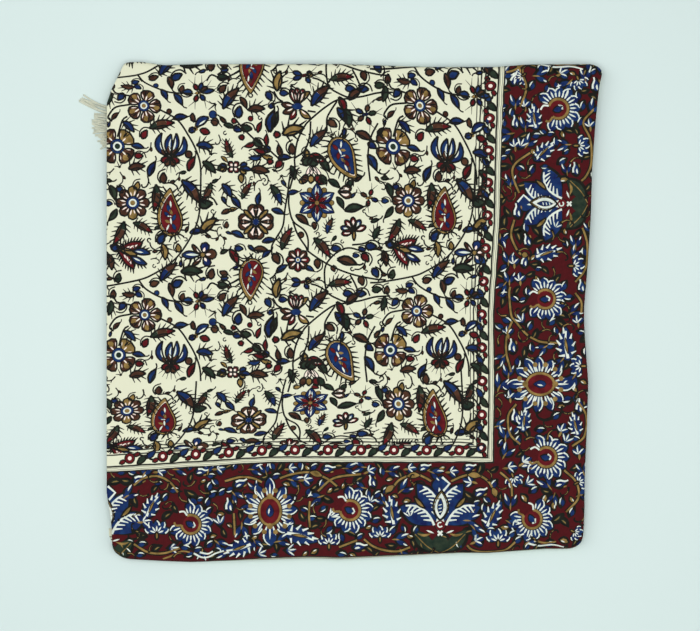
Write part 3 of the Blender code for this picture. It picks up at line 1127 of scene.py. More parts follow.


# %% [markdown]
# ## The field block
#
# The field is one block, 276 by 202 mm, set down again and again. Its motifs are listed by kind, each as
# (x, y, turn, size), where a turn of 0 and a size of 1 go without saying, and its vines as the points
# that their stems pass through. The places were read off the enlarged photograph, in its pixels, of
# which each is a millimetre on the cloth. Places on the block are counted from its lower left corner.

# %% Where the block's motifs stand
BLOCK_WIDTH, BLOCK_DEPTH = 276, 202
BLOCK_LEFT_PX, BLOCK_FRONT_PX = 107, 380
MOTIFS_READ = {
    "bent_cluster": ((203.6, 330),),
    "bud blue": (
        (224.8, 278.7, 20, 0.8), (177.7, 283.7, 30, 1.2), (137.5, 288.7, 20, 0.8),
        (139.3, 295.4, -30, 0.8), (188, 300.3, 175), (122.3, 306.5, -125),
        (236.6, 335.5, -20, 0.9), (119.6, 190, -45, 0.9), (109, 204.3, 0, 0.8), (162, 238.7, 60, 1.2),
        (117, 249.4, -10, 1.1), (336.3, 248.8), (362, 250, 0, 0.8), (355.9, 255.9, 0, 0.7),
        (239, 248.8, 0, 0.9), (282.9, 299.8, 0, 0.9), (268, 303, -60), (271, 312.2, 60, 0.7),
        (348.4, 293.6), (360.9, 294.5, 0, 1.1), (239.4, 319.4, 80, 1.2), (369.5, 348, -30),
        (370.8, 247.2, 0, 1.2), (375, 273, -60, 1.1),
    ),
    "bud brown": (
        (211.6, 274.4, 80, 1.1), (223.7, 273.2, 160, 0.9), (154.5, 283.8, 20), (183, 297.1, 75, 0.8),
        (223.2, 297.1, 50), (114.3, 293.6, 90, 0.9), (164.3, 177.5, 90, 1.1),
        (226.8, 224.8, 90, 0.7), (314, 226.4, -80, 0.8), (276.4, 259, -60, 1.2), (317.3, 263.9, -80),
        (333, 268.7, -60, 0.7), (361.4, 281, -70), (330.3, 328, -30, 1.1), (291, 352.9, 100, 1.1),
    ),
    "bud green": (
        (223.2, 286.4, 0, 1.1), (221.4, 374, 0, 0.8), (119.2, 277.5, 80), (206.3, 204.7, 10, 1.4),
        (349.6, 184, 60, 0.9), (246, 334.7, 0, 1.1), (256.6, 349.1, -30, 1.1), (306.3, 365.4, 30, 1.2),
        (376.6, 290.3, 10),
    ),
    "bud ochre": (
        (178.6, 247.6, 100, 0.9), (138.4, 186, 80, 0.9), (302.5, 181.8, 10, 0.8),
        (305.4, 356.7, 95, 0.9), (240.3, 382.6, -80, 0.9),
    ),
    "bud red": (
        (146, 342.7, 60), (140.2, 364.1, 0, 0.9), (321, 182.7, -20, 0.8), (364.8, 258.5, -50, 1.1),
        (277.2, 368.2, -130),
    ),
    "cross_flower": ((202.7, 254.7),),
    "curled_hook": ((317, 330),),
    "dot blue": (
        (157.1, 292.7), (266.1, 354.4, 0, 1.4),
    ),
    "dot brown": (
        (170, 319.5), (189.3, 361, 0, 1.4), (301.4, 235, 0, 1.2),
    ),
    "dot red": ((250.4, 324.7),),
    "feathers": ((130.4, 253.4, -18),),
    "hairy blue": (
        (130.4, 336.4, -42, 0.9), (205.4, 353.4, -8), (227, 191, -55), (253.7, 361.5, 185, 0.75),
    ),
    "hairy brown": (
        (129.5, 293.6, 175, 0.8), (138.4, 374.8, 10), (109.8, 262, -75), (255.6, 315.6, 5),
        (258.5, 375, -5, 1.1),
    ),
    "hairy green": (
        (192, 272.5, 0, 1.3), (110, 308, -100, 0.9), (209, 373, -40), (344.6, 322.5, -80, 1.1),
        (291, 375.9, -75, 0.85), (377.5, 233, 65, 0.85),
    ),
    "hairy ochre": (
        (163.8, 252.5, -80), (209.5, 226, 42, 1.3), (278, 288, 80, 1.2), (292, 335.7, 18, 1.35),
    ),
    "half_flower": ((295.8, 312.2),),
    "heart red": (
        (234, 327.5), (276.2, 340.5, 0, 1.2), (241.3, 342.9, 180), (269.5, 366.3, 0, 1.1),
    ),
    "heart_flower": ((256.3, 222),),
    "leaf blue": (
        (164.7, 303.4, -62, 0.9), (178.6, 308.3, -55), (181.3, 326.2, 10),
        (138.8, 355.2, -10, 0.9), (152.7, 375.7, 65, 1.1), (196.9, 232.4, 10), (236, 203, -50),
        (293, 193.4, 12, 0.8), (258.6, 198.8, 80, 0.9), (278.2, 211.7, -20, 0.95), (238, 235.4, -25),
        (269.3, 240.7, 10, 0.95), (266.6, 254, 40, 0.8), (282.4, 268.7, 35, 0.95),
        (309.2, 269.2, -25, 0.8), (271.5, 327, 78, 1.5), (338.5, 319.4, -60, 1.1),
        (283.4, 362, 5, 0.95), (369.5, 364.4, -60, 1.2), (245, 373.5, -5, 0.85),
    ),
    "leaf brown": (
        (171.4, 290, -75), (117, 325.7, 45, 0.7), (227.5, 212, 20, 0.8), (302.3, 220.2, -38, 1.1),
        (261, 250, -5), (346.5, 262.5, -15, 1.4), (353.2, 299.3, 40, 1.2), (243.2, 309.9, -60, 0.9),
        (278.6, 354.8, 105, 0.9), (360.9, 338.6, -25, 1.2),
    ),
    "leaf green": (
        (229.5, 333, -15, 0.8), (113.4, 192.7, -70, 1.1), (113.4, 215, -125), (333.6, 183.6, -35),
        (339.8, 203.2, -60, 0.95), (354, 208.6, 12, 1.3), (275.5, 325, 75, 1.1),
        (321.7, 368.2, -50, 1.1),
    ),
    "leaf ochre": (
        (224, 365, -40, 0.6), (233.5, 209.5, 15, 0.7), (266.1, 361, 170, 0.8),
    ),
    "leaf red": (
        (192.4, 370.4, 65, 1.1), (233.6, 257, -60, 1.2), (339.8, 308.9, -65, 1.1),
        (258.5, 332.8, 70, 0.8), (248.9, 350.5, 200, 0.8), (266.1, 344.8, 90, 0.8),
        (260.4, 354.8, 175), (314, 359.6, 0, 0.95),
    ),
    "lotus": ((353.7, 227.3),),
    "pair_blue_brown": (
        (168.7, 272.5, 47, 1.05), (230.8, 306, 52, 1.1), (191, 192, -52, 1.25), (330, 226, 70, 0.7),
        (319.3, 301.2, 48, 1.15), (316.9, 342.4, 45),
    ),
    "pair_green_blue": ((276, 194.6, -62, 0.9),),
    "pair_green_red": (
        (162.9, 334.5, 14), (229.5, 354, 110, 0.75), (154.5, 198, -95, 1.05),
        (207.1, 191.8, -115, 0.8), (118.8, 232.9, -116), (142.9, 228.5, -28, 0.85),
        (247, 190.7, 59, 0.75), (286.7, 239, 65, 0.95), (322, 247.9, -50), (339.8, 283.5, 8, 0.92),
    ),
    "paisley_blue": ((344, 361, -64, 0.98),),
    "paisley_brown": ((253.5, 279.5, -97, 0.93),),
    "paisley_red": ((173, 212, 96),),
    "heart_bud": ((345.2, 192.5),),
    "pomegranate": ((310.2, 374),),
    "quatrefoil": ((233, 372.5),),
    "hollow_ring": ((197.3, 208.8),),
    "rosette_brown": ((132.6, 203.4),),
    "rosette_five": ((145.5, 315.4),),
    "rosette_four": ((118.8, 355.2),),
    "rosette_red": ((298.2, 260.5),),
    "spidery_blue": ((362.8, 317.5),),
    "spidery_mixed": ((199.1, 300.7),),
    "spidery_red": ((369, 198, 0, 0.9),),
    "spray": ((303.5, 282),),
    "star_flower": ((316.6, 202.8),),
    "tulip": ((170.5, 355.5),),
}
VINES_READ = (
    ((96, 287), (108, 286), (139.3, 280.2), (153.6, 274), (171.4, 263.2), (183, 249.8), (195, 229.3),
    (200, 208.8), (200.9, 179.3), (200.5, 168)),
    ((160, 318.5), (177.7, 328.4), (189.3, 342.7), (196.4, 356), (200, 368), (200.7, 381)),
    ((293, 222), (297.9, 235.4), (305.9, 247), (309.2, 252.4), (329.3, 264.9), (351.3, 274.4),
    (374.3, 279.2), (386, 279.5)),
    ((139.3, 280.2), (145.5, 288.2), (153.6, 293.6), (162.5, 298), (173.2, 300.7), (193.8, 301.6)),
    ((132, 314), (117.9, 316.8), (111.6, 323), (110.3, 328.4), (114.3, 331)),
    ((129.5, 325.7), (124, 330.2), (118.8, 346.3)),
    ((131.3, 304.7), (122.3, 303.4), (117, 301.6), (113.4, 295.4)),
    ((207, 289), (211.6, 282.9), (222, 287), (232, 283), (240, 279)),
    ((364, 252), (349.4, 247.7), (338, 252), (330.3, 259), (325.5, 268), (324.5, 283), (328.3, 292.6),
    (337.9, 299.3), (347.5, 302.2), (359, 301.2), (375, 297.4), (390, 296)),
    ((328, 292), (318, 286), (311, 284)),
    ((347.5, 303.2), (335, 305), (325.5, 310.8), (316, 318.5), (307.3, 326), (303.5, 330.9),
    (295.8, 345.3), (292.9, 362.5), (292.5, 373), (288, 392)),
    ((309.2, 326), (308.3, 340.5), (303.5, 353.9), (292.9, 362.5)),
    ((335, 306), (329.3, 314.6), (325.5, 323.3), (324.5, 333.8)),
    ((291, 171), (289, 182.7), (288, 192.5), (285.4, 210.4), (282.7, 225.5), (277.3, 237), (272, 246),
    (272.4, 255)),
    ((288.5, 195), (289, 206), (292.5, 221), (304, 230), (307.7, 239), (307.7, 251)),
    ((235.5, 326), (242.2, 333.8), (253.7, 345.3), (266.1, 353), (276.7, 362.5), (284, 363.4)),
    ((375.2, 326), (367.6, 340.5), (364.7, 358.7), (366.6, 381.6)),
    ((350.4, 275.4), (354, 282), (358, 290.7)),
    ((270, 279), (274, 276), (279, 269)),
    ((272.8, 298.4), (276.7, 305), (282.4, 308)),
    ((271, 312), (276, 309), (282, 308)),
    ((306.3, 315.6), (314, 316.6)),
    ((352.3, 245), (362, 244), (369.3, 241.6)),
)


def stamp(x, y, turn=0, size=1):
    return x, y, turn, size


def on_block(x, y, *rest):
    return round(x - BLOCK_LEFT_PX), round(BLOCK_FRONT_PX - y), *rest


FIELD_MOTIFS = {kind: [stamp(*on_block(*spot)) for spot in spots] for kind, spots in MOTIFS_READ.items()}
FIELD_VINES = [[on_block(x, y) for x, y in path] for path in VINES_READ]
print("motifs on the field block", sum(len(places) for places in FIELD_MOTIFS.values()))

# %% [markdown]
# ## The border block
#
# The madder border has larger, bolder motifs in indigo with uncut white streaks, ochre vines with dark
# sides, and hardly any bare ground. Its motifs stand in the package's own millimetres, because the two
# sides and the corner were printed from different blocks.

# %% Border motifs
def petal(made, at, low, high, width, streaks=2, colour="blue"):
    """A petal out from a ring, dark around, with one white edge and white streaks along it."""
    made.blade("black", polar(low - 1, at), polar(high + 1.6, at), width + 3.0, 0, 0.58, 0.7, edge=0)
    left, right = made.cover(colour, polar(low, at), polar(high, at), width, 0, 0.58, 0.7)
    edge = right if math.cos(math.radians(at)) > -0.2 else left
    made.line(edge[3:] * 0.965, 1.8, "white", LIGHT, taper=0.5, soft=False)
    for k in range(streaks):
        lean = (k - (streaks - 1) / 2) * math.degrees(width * 0.5 / high)
        made.streak("white", polar(low + 0.5, at + lean), polar(low + (high - low) * (0.7 if k % 2 else 0.55),
                   at + lean * 1.3), 1.8)


def ellipse(across_radius, along_radius, start=0, sweep=360):
    turn = np.radians(start + np.linspace(0, sweep, 25))
    return np.stack([across_radius * np.cos(turn), along_radius * np.sin(turn)], 1)


@motif
def great_flower(made):
    for at, high, width in (
            (90, 34, 9), (57, 29, 8.5), (30, 30, 9), (3, 28, 9), (-27, 27, 8), (-55, 27, 8), (-90, 35, 13),
            (-126, 29, 8.5), (-155, 29, 8.5), (174, 29, 9), (147, 30, 9), (119, 30, 8)):
        petal(made, at, 9 + 4 * abs(math.sin(math.radians(at))), high, width, 3 if width > 8.7 else 2)
    for at in range(15, 360, 30):
        made.disc("ochre", 2.4, *polar(19.5 + 2 * abs(math.sin(math.radians(at))), at), layer=LIGHT)
    made.cover("red", (0, -14), (0, 14), 22, 0, 0.5, 0.5)
    made.line(ellipse(10.8, 13.8), 2.4, "ochre", LINE, soft=False)
    made.line(ellipse(12.4, 15.4), 0.8, "black", LINE, soft=False)
    made.blade("blue", (0, -6), (0, 7), 8, 0, 0.4, layer=LIGHT, edge=0.7)
    made.blade("white", (-1.5, -3), (-0.5, 3), 1.8, edge=0, layer=LINE)
    made.disc("ochre", 3.0, 0, 15, layer=LINE)
    made.disc("ochre", 3.0, 0, -15, layer=LINE)


@motif
def ring_flower(made):
    """Petals round an open ring. The ring's gap faces +X."""
    for at in range(50, 330, 28):
        petal(made, at, 10, 22 + at % 3, 9.5, 3)
    made.blade("red", (0, -9), (0, 9), 17, 0, 0.5, 0.5, edge=0)
    made.ring("ochre", 9.8, 2.6, open_from=35, open_to=325)
    made.ring("black", 11.5, 0.8, open_from=35, open_to=325)
    made.line([(8, 6), (13, 9), (16, 7)], 2.2, "ochre")
    made.line([(8, -6), (13, -8), (17, -5)], 1.8, "white")
    made.blade("blue", (-5, 0), (6, 0), 7, 0.1, layer=LIGHT, edge=1.4)
    made.line([(-3.5, 2), (-4.5, -1), (-1, -3.2)], 1.5, "white")


def winged_petal(made, start, end, width, bend, side, teeth):
    made.blade("black", start, np.array(end) * 1.08, width + 4.0, bend, 0.52, 0.9, edge=0)
    left, right = made.cover("blue", start, end, width, bend, 0.52, 0.9)
    inner, outer = (right, left) if side < 0 else (left, right)
    rib = inner * 0.86 + outer * 0.14
    made.line(rib[:-2], 2.4, "white", LIGHT, taper=0.3, soft=False)
    made.hairs(rib[1:-2], teeth, 5.4, -side, 0.6, "white", 2.5)


@motif
def palmette(made):
    """A blue lotus palmette that opens along +Y, on a dark green calyx."""
    for side in (-1, 1):
        made.blade("black", (0, -46), (28 * side, -22), 17, -0.14 * side, 0.55, edge=0)
        made.cover("green", (0, -44), (26 * side, -23), 13, -0.14 * side, 0.55)
        made.line([(1 * side, -46), (13 * side, -39), (25 * side, -27)], 0.9, "ochre", LIGHT)
        made.streak("ochre", (9 * side, -26), (23 * side, -26), 2.6, -0.3 * side)
        made.streak("white", (6 * side, -26), (14 * side, -23), 1.9)
        winged_petal(made, (6 * side, -18), (40 * side, 0), 20, 0.1 * side, side, 8.5)
        winged_petal(made, (3 * side, -15), (23 * side, 23), 20, 0.14 * side, side, 8.5)
        made.blade("ochre", (15 * side, -1), (26 * side, 11), 4.6, -0.1 * side, layer=LIGHT)
    made.cover("green", (0, -45), (0, -27), 17, 0, 0.5, 0.7)
    made.blade("black", (0, 11), (1.5, 33), 20, 0, 0.5, 0.8, edge=0)
    made.cover("blue", (0, 12), (1.5, 31), 17, 0, 0.5, 0.8)
    made.line([(2, 30), (9.5, 23.5), (3, 16)], 2.2, "white", soft=False)
    made.streak("white", (0, 12), (-1, 20), 2.4)
    made.blade("ochre", (0, -13), (1.5, 17), 15.5, 0, 0.45, layer=LIGHT)
    made.blade("white", (0, -12), (1.5, 14.5), 12.5, 0, 0.45, edge=0.7, layer=LIGHT)
    made.blade("blue", (0, -8), (0.5, 9), 5.6, 0, 0.5, edge=0.7, layer=LINE)
    for y in (-4.5, -1, 2.5):
        made.blade("white", (-2, y - 0.8), (2.2, y + 0.4), 1.1, edge=0, layer=LINE)
    made.disc("black", 6.2, 0, -18, layer=OVER)
    made.disc("red", 5.0, 0, -18, layer=LIGHT)
    made.ring("white", 2.3, 1.4, 0, -17.5, open_from=60, open_to=330)
    for at in (45, 135):
        x, y = polar(3.2, at)
        made.line([(-x, -26 - y), (x, -26 + y)], 2.0, "white", soft=False)


@motif
def jagged_leaf(made):
    """A blue leaf with white teeth on both sides and an ochre rib, pointing along +X."""
    made.blade("black", (-17, 0), (17, 0), 19, 0.08, 0.4, 0.8, edge=0)
    left, right = made.cover("blue", (-15, 0), (15.5, 0), 14.5, 0.08, 0.4, 0.8)
    made.hairs(left * 0.8, 5.4, 5.6, 1, 1.1, "white", 2.5)
    made.hairs(right * 0.8, 4.4, 7.0, -1, 1.2, "white", 2.2)
    made.line([(-13, 0.4), (0, 1.8), (12, 0.2)], 2.8, "white", LIGHT, taper=0.5)
    made.blade("ochre", (-9, 0), (6, 1.4), 2.6, 0.05, edge=0.7, layer=LINE)


@motif
def fan(made):
    for at in (20, 55, 90, 125, 160):
        petal(made, at, 1, 13 + at % 2, 6, 1)
    made.blade("ochre", (0, 2), (0, -7), 4, layer=LIGHT)


@motif
def barbed_bud(made):
    made.blade("black", (-8.5, -0.5), (9, 0), 12.0, 0.1, 0.42, edge=0)
    made.cover("blue", (-5.5, -0.3), (6, 0.5), 7.0, 0.1, 0.42)
    made.line([(-3, 3.4), (1, 3.6), (5, 2.0), (8.5, 2.6)], 2.1, "white", LIGHT, taper=0.3)
    made.streak("white", (-4.5, -1.6), (1.5, -0.6), 2.2, 0.2)
    made.streak("ochre", (2.5, -3.6), (6.5, -2.6), 1.6)


@motif
def split_bud(made):
    """Two blue lobes on a short white stalk."""
    made.blade("black", (-8, 0), (9, 4), 9, 0.1, 0.5, edge=0)
    made.blade("black", (-6, 0), (8, -6), 8, -0.1, 0.5, edge=0)
    made.cover("blue", (-4, 0.5), (7.5, 4), 5.2, 0.15)
    made.cover("blue", (-4, -0.5), (6.5, -5), 4.4, -0.15)
    made.streak("white", (1, 2.8), (9, 5.4), 1.9, 0.15)
    made.streak("ochre", (-8.5, -0.4), (0, -0.8), 1.7, 0.1)
    made.streak("white", (3, -4.0), (7.5, -6.2), 1.6, -0.15)


@motif
def trefoil(made):
    made.blade("black", (-7, 0), (8, 0), 15, 0, 0.55, 0.8, edge=0)
    for at, reach in ((-48, 8), (2, 10), (50, 8.5)):
        made.cover("blue", (-3, 0), polar(reach, at, -2, 0), 4.8, 0.1, 0.6)
        made.streak("white", (-2, 0.6), polar(reach * 0.9, at + 10, -2, 0), 1.7, 0.15)
    made.streak("ochre", (-8, -0.3), (-1, 0), 2.6)


@motif
def claw(made):
    made.blade("black", (-5, 0), (9, 0), 11, 0, 0.6, edge=0)
    for at in (-34, 0, 32):
        made.cover("blue", polar(-1, at), polar(9.5, at * 1.2), 3.6)
        made.streak("white", polar(1, at + 8), polar(9.5, at * 1.2 + 6), 1.7)


@motif
def spark(made):
    """Dark leaf with white and blue specks, which fills a gap between border motifs."""
    made.blade("black", (-7, 0), (7, 0), 9.5, 0.15, edge=0)
    made.cover("blue", (-4, -1.2), (3, 0), 4.2)
    made.streak("white", (-2.6, 1.6), (4.6, 1.4), 1.5, 0.25)


@motif
def dark_hook(made):
    made.line([(-8, -2), (-3, 1), (3, 0.5), (6, -3), (4, -5.5)], 3.2, taper=0.5)
    made.line([(-6, -1), (-1, 1.4), (3, 0.5)], 1.2, "ochre", taper=0.6)


@motif
def golden_speck(made):
    made.blade("black", (-5.8, 0), (5.8, 0.4), 8.0, -0.12, edge=0)
    made.cover("ochre", (-3.8, 0), (3.6, 0.3), 4.0, -0.12)
    made.streak("white", (-1, 0.8), (3, 0.6), 1.3)


@motif
def dark_leaf(made):
    made.blade("black", (-8, 0), (8, 0), 8.5, 0.2, 0.45, edge=0)
    made.cover("green", (-4, 0.4), (4, 0.4), 3.0, 0.18, 0.45)
    made.streak("ochre", (-3, 0.4), (3.5, 0.6), 1.3, 0.18)


# %% [markdown]
# The inner guard is a chain of slanted dark leaves and small red flowers between thin lines.

# %% Guard motifs
@motif
def guard_leaf(made):
    made.blade("green", (-11, -0.5), (2, 0.5), 6.0, 0.12, edge=1.5)
    made.blade("blue", (-1.5, 0.5), (11, 0), 5.4, -0.12, edge=1.4)
    made.blade("black", (-1, 2), (-5, 6.5), 2.4, edge=0)
    made.blade("black", (1, -2), (5, -6.5), 2.4, edge=0)


@motif
def guard_flower(made):
    made.disc("red", 4.8)
    made.ring("black", 5.0, 1.1)
    made.disc("pink", 1.9, layer=LIGHT)
    made.blade("red", (4, 2), (10.5, 4.5), 4.4, edge=1.2)
    made.blade("red", (-4, -2), (-10.5, -4.5), 4.4, edge=1.2)


# %% Where the border's motifs stand
BORDER_MOTIFS = {
    "great_flower": ((-80, -199), (190, -72, 90)),
    "ring_flower": (
        (0, -198, 150), (182, -207, 120, 0.95), (-159, -212, 150, 0.95), (208, 203, 200),
        (195, 13, 180, 0.95), (196, -145, 170),
    ),
    "palmette": ((90, -195), (195, 108, 90, 0.92), (-244, -204)),
    "jagged_leaf": (
        (43, -199, 95), (144, -203, 60), (-49, -225, -15, 1.1), (-112, -235, 195),
        (198, 58, 15, 0.95), (217, -32, 95, 1.1), (185, 195, 95, 0.85), (195, 160, 40, 0.9),
        (-197, -194, 60, 0.9), (175, -108, 80, 0.8), (226, -112, 100, 0.8),
    ),
    "fan": (
        (148, -229), (30, -225, 0, 0.9), (-21, -232, 0, 0.9), (228, 166, 270, 0.9),
        (223, 46, 270, 0.9), (231, -54, 90, 0.9), (-193, -221), (163, -165, 200, 0.8),
        (228, -170, 300, 0.8), (224, -220, 240, 0.7), (228, 232, 200, 0.8), (172, 236, 120, 0.75),
    ),
    "barbed_bud": (
        (246, 226, 90), (243, 204, 60), (240, 187, 90, 0.9), (-110, -172, 20),
        (-33, -186, 200), (-44, -168), (-22, -157, 0, 0.9), (-1, -156, 0, 0.9),
        (20, -159, 20, 0.9), (23, -170, 100, 0.9), (54, -176, 40), (120, -169, 160),
        (130, -181, 20), (42, -159, 0, 0.9), (60, -157, 0, 0.9), (74, -156, 10, 0.9),
        (85, -161, -20, 0.9), (102, -160, 0, 0.9), (119, -156, 10, 0.9), (-95, -157, 0, 0.9),
        (-59, -157, 0, 0.9), (-120, -194, 90), (50, -227), (127, -229, 20), (9, -235),
        (121, -208), (160, -156), (176, -153), (165, 209, 90, 0.9),
        (175, 207, 90, 0.9), (166, 189, 90, 0.9), (175, 187, 90, 0.9), (165, 167, 90, 0.9),
        (178, 71, 100, 0.9), (158, 53, 90, 0.9), (164, 50, 90, 0.9), (175, 50, 80, 0.9),
        (159, 33, 90, 0.9), (170, 33, 90, 0.9), (232, 25, 90, 0.9), (225, 69, 90, 0.9),
        (228, -9, 90, 0.9), (226, 142, 90, 0.9), (235, 236, 90, 0.9), (-131, -157, 0, 0.9),
        (-149, -160, 0, 0.9), (-170, -157, 0, 0.9), (-190, -160, 0, 0.9), (-211, -168, 20),
        (-221, -182, 40), (-205, -210), (165, 232, 60), (190, 236), (212, 238, 20),
        (168, 100, 90), (160, 130, 90, 0.9), (158, -20, 90, 0.9), (163, -35, 90),
        (158, -60, 90, 0.9), (160, -84, 90, 0.9), (166, -105, 90), (155, -122, 90),
        (212, -118, 60), (230, -95, 80), (156, -140, 60), (175, -150, 30),
        (210, -172, 10), (160, -190, 90), (229, -140, 90),
    ),
    "claw": (
        (-63, -238), (-92, -242, 20), (-20, -205, 40), (60, -205, 100, 0.9),
        (-130, -212, 100), (170, 165, 60), (172, -10, 120), (215, -130, 60),
        (176, -172, 30), (-180, -236), (20, -190, 60, 0.8), (205, 84, 60, 0.8),
    ),
    "spark": (
        (-128, -180, 30), (-104, -226, 10), (-60, -214, 50), (-38, -206),
        (-28, -172, 70), (36, -178, 30), (66, -218, 60), (26, -208, 10), (134, -196, 80),
        (140, -218), (162, -222, 30), (-142, -190, 60), (-176, -178),
        (-140, -232, 30), (-208, -232), (182, 226, 60), (228, 216, 90),
        (230, 190, 60), (186, 176), (206, 170, 90), (182, 142, 60), (212, 150, 30),
        (176, 84, 90), (214, 26, 60), (178, 20, 90), (180, -14, 60), (202, -10, 30),
        (182, -36, 90), (200, -34), (176, -100, 60), (206, -104, 30), (190, -118),
        (168, -128, 60), (212, -190, 80), (168, -228, 30), (236, -40, 90), (234, 60, 90),
        (-228, -160), (200, -232), (222, -200, 60), (184, -178, 30),
        (-74, -164, 10), (144, -172, 50),
    ),
}
BORDER_VINES = (
    ((-125, -169), (-110, -165), (-97, -166), (-88, -170)),
    ((-70, -166), (-58, -162), (-43, -160), (-33, -162), (-22, -167), (-13, -174)),
    ((-32, -179), (-20, -168), (-8, -164), (11, -162)),
    ((-40, -189), (-41, -201), (-40, -215)),
    ((-11, -235), (7, -228)),
    ((14, -227), (23, -234), (35, -238), (48, -239), (60, -235)),
    ((35, -181), (41, -178), (49, -168), (64, -162), (74, -165), (81, -169)),
    ((101, -169), (113, -164), (125, -162), (137, -168), (143, -177), (146, -185)),
    ((117, -233), (121, -237), (130, -240), (142, -240), (155, -238), (165, -230)),
    ((-116, -201), (-115, -223)),
    ((167, 248), (176, 225), (170, 205)),
    ((185, 162), (180, 159), (166, 149), (162, 140), (165, 128), (169, 119)),
    ((243, 202), (233, 189), (240, 172), (241, 149), (236, 136), (231, 131)),
    ((164, 92), (161, 76), (169, 59), (178, 56)),
    ((232, 84), (235, 76), (237, 66), (236, 47), (232, 38), (225, 30)),
    ((225, 19), (231, 10), (231, -1)),
    ((160, 25), (159, 18), (161, -3), (165, -9), (176, -22), (184, -27), (192, -30), (209, -31)),
    ((162, -9), (157, -22), (156, -40), (161, -60)),
    ((-216, -173), (-206, -166), (-192, -164), (-180, -170), (-172, -180)),
    ((-216, -232), (-202, -240), (-186, -241), (-170, -236)),
    ((166, -92), (158, -104), (160, -122), (170, -132)),
    ((228, -90), (236, -104), (234, -124), (222, -134)),
    ((150, -160), (160, -170), (162, -184)), ((214, -158), (226, -170), (228, -186), (216, -200)),
)
# Nothing small is dropped on the palmettes' green leaves.
CALYX_PATHS = (
    ((66, -222), (90, -240), (114, -222)), ((76, -226), (90, -231), (104, -226)),
    ((-244, -240), (-218, -222)),
    ((221, 85), (237, 108), (221, 131)), ((224, 96), (229, 108), (224, 120)),
)
# The small buds are cut in three ways, in turn.
BUD_CUTS = ("barbed_bud", "split_bud", "trefoil")
BORDER_MOTIFS = {kind: tuple(stamp(*spot) for spot in spots) for kind, spots in BORDER_MOTIFS.items()}
for cut in BUD_CUTS[1:]:
    BORDER_MOTIFS[cut] = BORDER_MOTIFS["barbed_bud"][BUD_CUTS.index(cut)::3]
BORDER_MOTIFS["barbed_bud"] = BORDER_MOTIFS["barbed_bud"][::3]
VINE_KNOTS = ((41, -179), (145, -184), (185, 161), (178, 56), (-33, -162), (125, -162), (64, -162))
# Strokes that the creases near the front corners cut short.
CREASE_STROKES = (
    ("white", ((178, -231), (188, -233.5), (196, -233), (202, -232.5), (208, -233.5), (214, -235.5))),
    ("ochre", ((184, -228), (194, -230.5), (206, -229.5))),
    ("ochre", ((-187, -247), (-177, -243), (-168, -239), (-160, -240))),
    ("white", ((-156, -241), (-148, -245), (-141, -244.5), (-134, -241), (-126, -238.5))),
    ("white", ((-150, -240), (-142, -241.5), (-137, -239))),
)

# %% [markdown]
# ## From motifs to blocks
#
# Every kind of motif becomes one small mesh for each dye. A Geometry Nodes tree then stamps them: each
# point of a plain mesh says which motif goes there, its turn and its size. The result is a block, flat
# and ready to print, with one mesh for each dye.

# %% The motif kinds that share a function
DYES = ("black", "brown", "red", "blue", "ochre", "green", "white", "pink")
KINDS.update({
    "pair_blue_brown": leaf(("blue", "brown"), 24, 8.0, 4.4, tail=0),
    "pair_green_red": leaf(("green", "brown", "red"), 26, 8.0, 4.6, tail=0),
    "pair_green_blue": leaf(("green", "blue"), 26, 8.0, 4.6, tail=0),
    "heart red": bud("red", 6, 5.5, False),
    "paisley_red": paisley(48, 25, 0.16, "ochre", "red"),
    "paisley_brown": paisley(46, 26, -0.12, "ochre", "red"),
    "paisley_blue": paisley(47, 26, -0.12, "ochre", "blue"),
    "rosette_brown": rosette(17, 8, ("brown", "brown", "ochre", "brown"), 6.5, 2),
    "rosette_five": rosette(17, 5, ("brown",), 5.5, 3),
    "rosette_four": rosette(18, 4, ("ochre", "brown", "brown", "brown"), 7.0, 3, "green", offset=45),
    "rosette_red": rosette(12, 8, ("red", "brown"), 3.2, 1),
    "spray": spidery("red", (
        (165, "blue", 12), (200, "blue", 12), (25, "blue", 8), (-50, "blue", 9), (5, "ochre", 9))),
    "spidery_red": spidery("ochre", (
        (70, "red", 10), (150, "brown", 11), (-20, "blue", 11), (-100, "red", 10))),
    "spidery_mixed": spidery("ochre", (
        (115, "red", 10), (70, "blue", 11), (10, "blue", 16), (-112, "red", 10), (-50, "blue", 10),
        (35, "brown", 11))),
    "spidery_blue": spidery("blue", (
        (-64, "red", 11), (-140, "brown", 10), (155, "blue", 11), (74, "brown", 10), (12, "green", 11))),
})
for colour in ("black", "brown", "red", "blue", "ochre", "green"):
    KINDS["leaf " + colour] = leaf((colour,), 14.5, 6.0)
    KINDS["bud " + colour] = bud(colour, 10, 6.5)
    KINDS["hairy " + colour] = leaf((colour,), 17, 7.0, 5.0, tail=0)
    KINDS["speck " + colour] = leaf((colour,), 8, 3.6)
    KINDS["dot " + colour] = round_bud(colour, 2.4)

# %% The chain of the inner guard
CHAIN_PITCH = 33.0
CHAIN_OFF = 11.6
CHAIN_LEFT, CHAIN_FRONT = -220, -118
CHAIN_RIGHT = BAND_U - 14
LINKS_ALONG_FRONT, LINKS_ALONG_RIGHT = 13, 14
LEAF_LEAN = 32
chain = {"guard_leaf": [], "guard_flower": []}
for k in range(LINKS_ALONG_FRONT):
    x = CHAIN_LEFT + CHAIN_PITCH * k
    if x < CHAIN_RIGHT:
        chain["guard_flower"].append((x, BAND_V + CHAIN_OFF, 0, 1))
    if x + CHAIN_PITCH / 2 < CHAIN_RIGHT:
        chain["guard_leaf"].append((x + CHAIN_PITCH / 2, BAND_V + CHAIN_OFF, LEAF_LEAN, 1))
for k in range(LINKS_ALONG_RIGHT):
    y = CHAIN_FRONT + CHAIN_PITCH * k
    chain["guard_flower"].append((BAND_U - CHAIN_OFF, y - CHAIN_PITCH / 2, 90, 1))
    chain["guard_leaf"].append((BAND_U - CHAIN_OFF, y, 90 + LEAF_LEAN, 1))

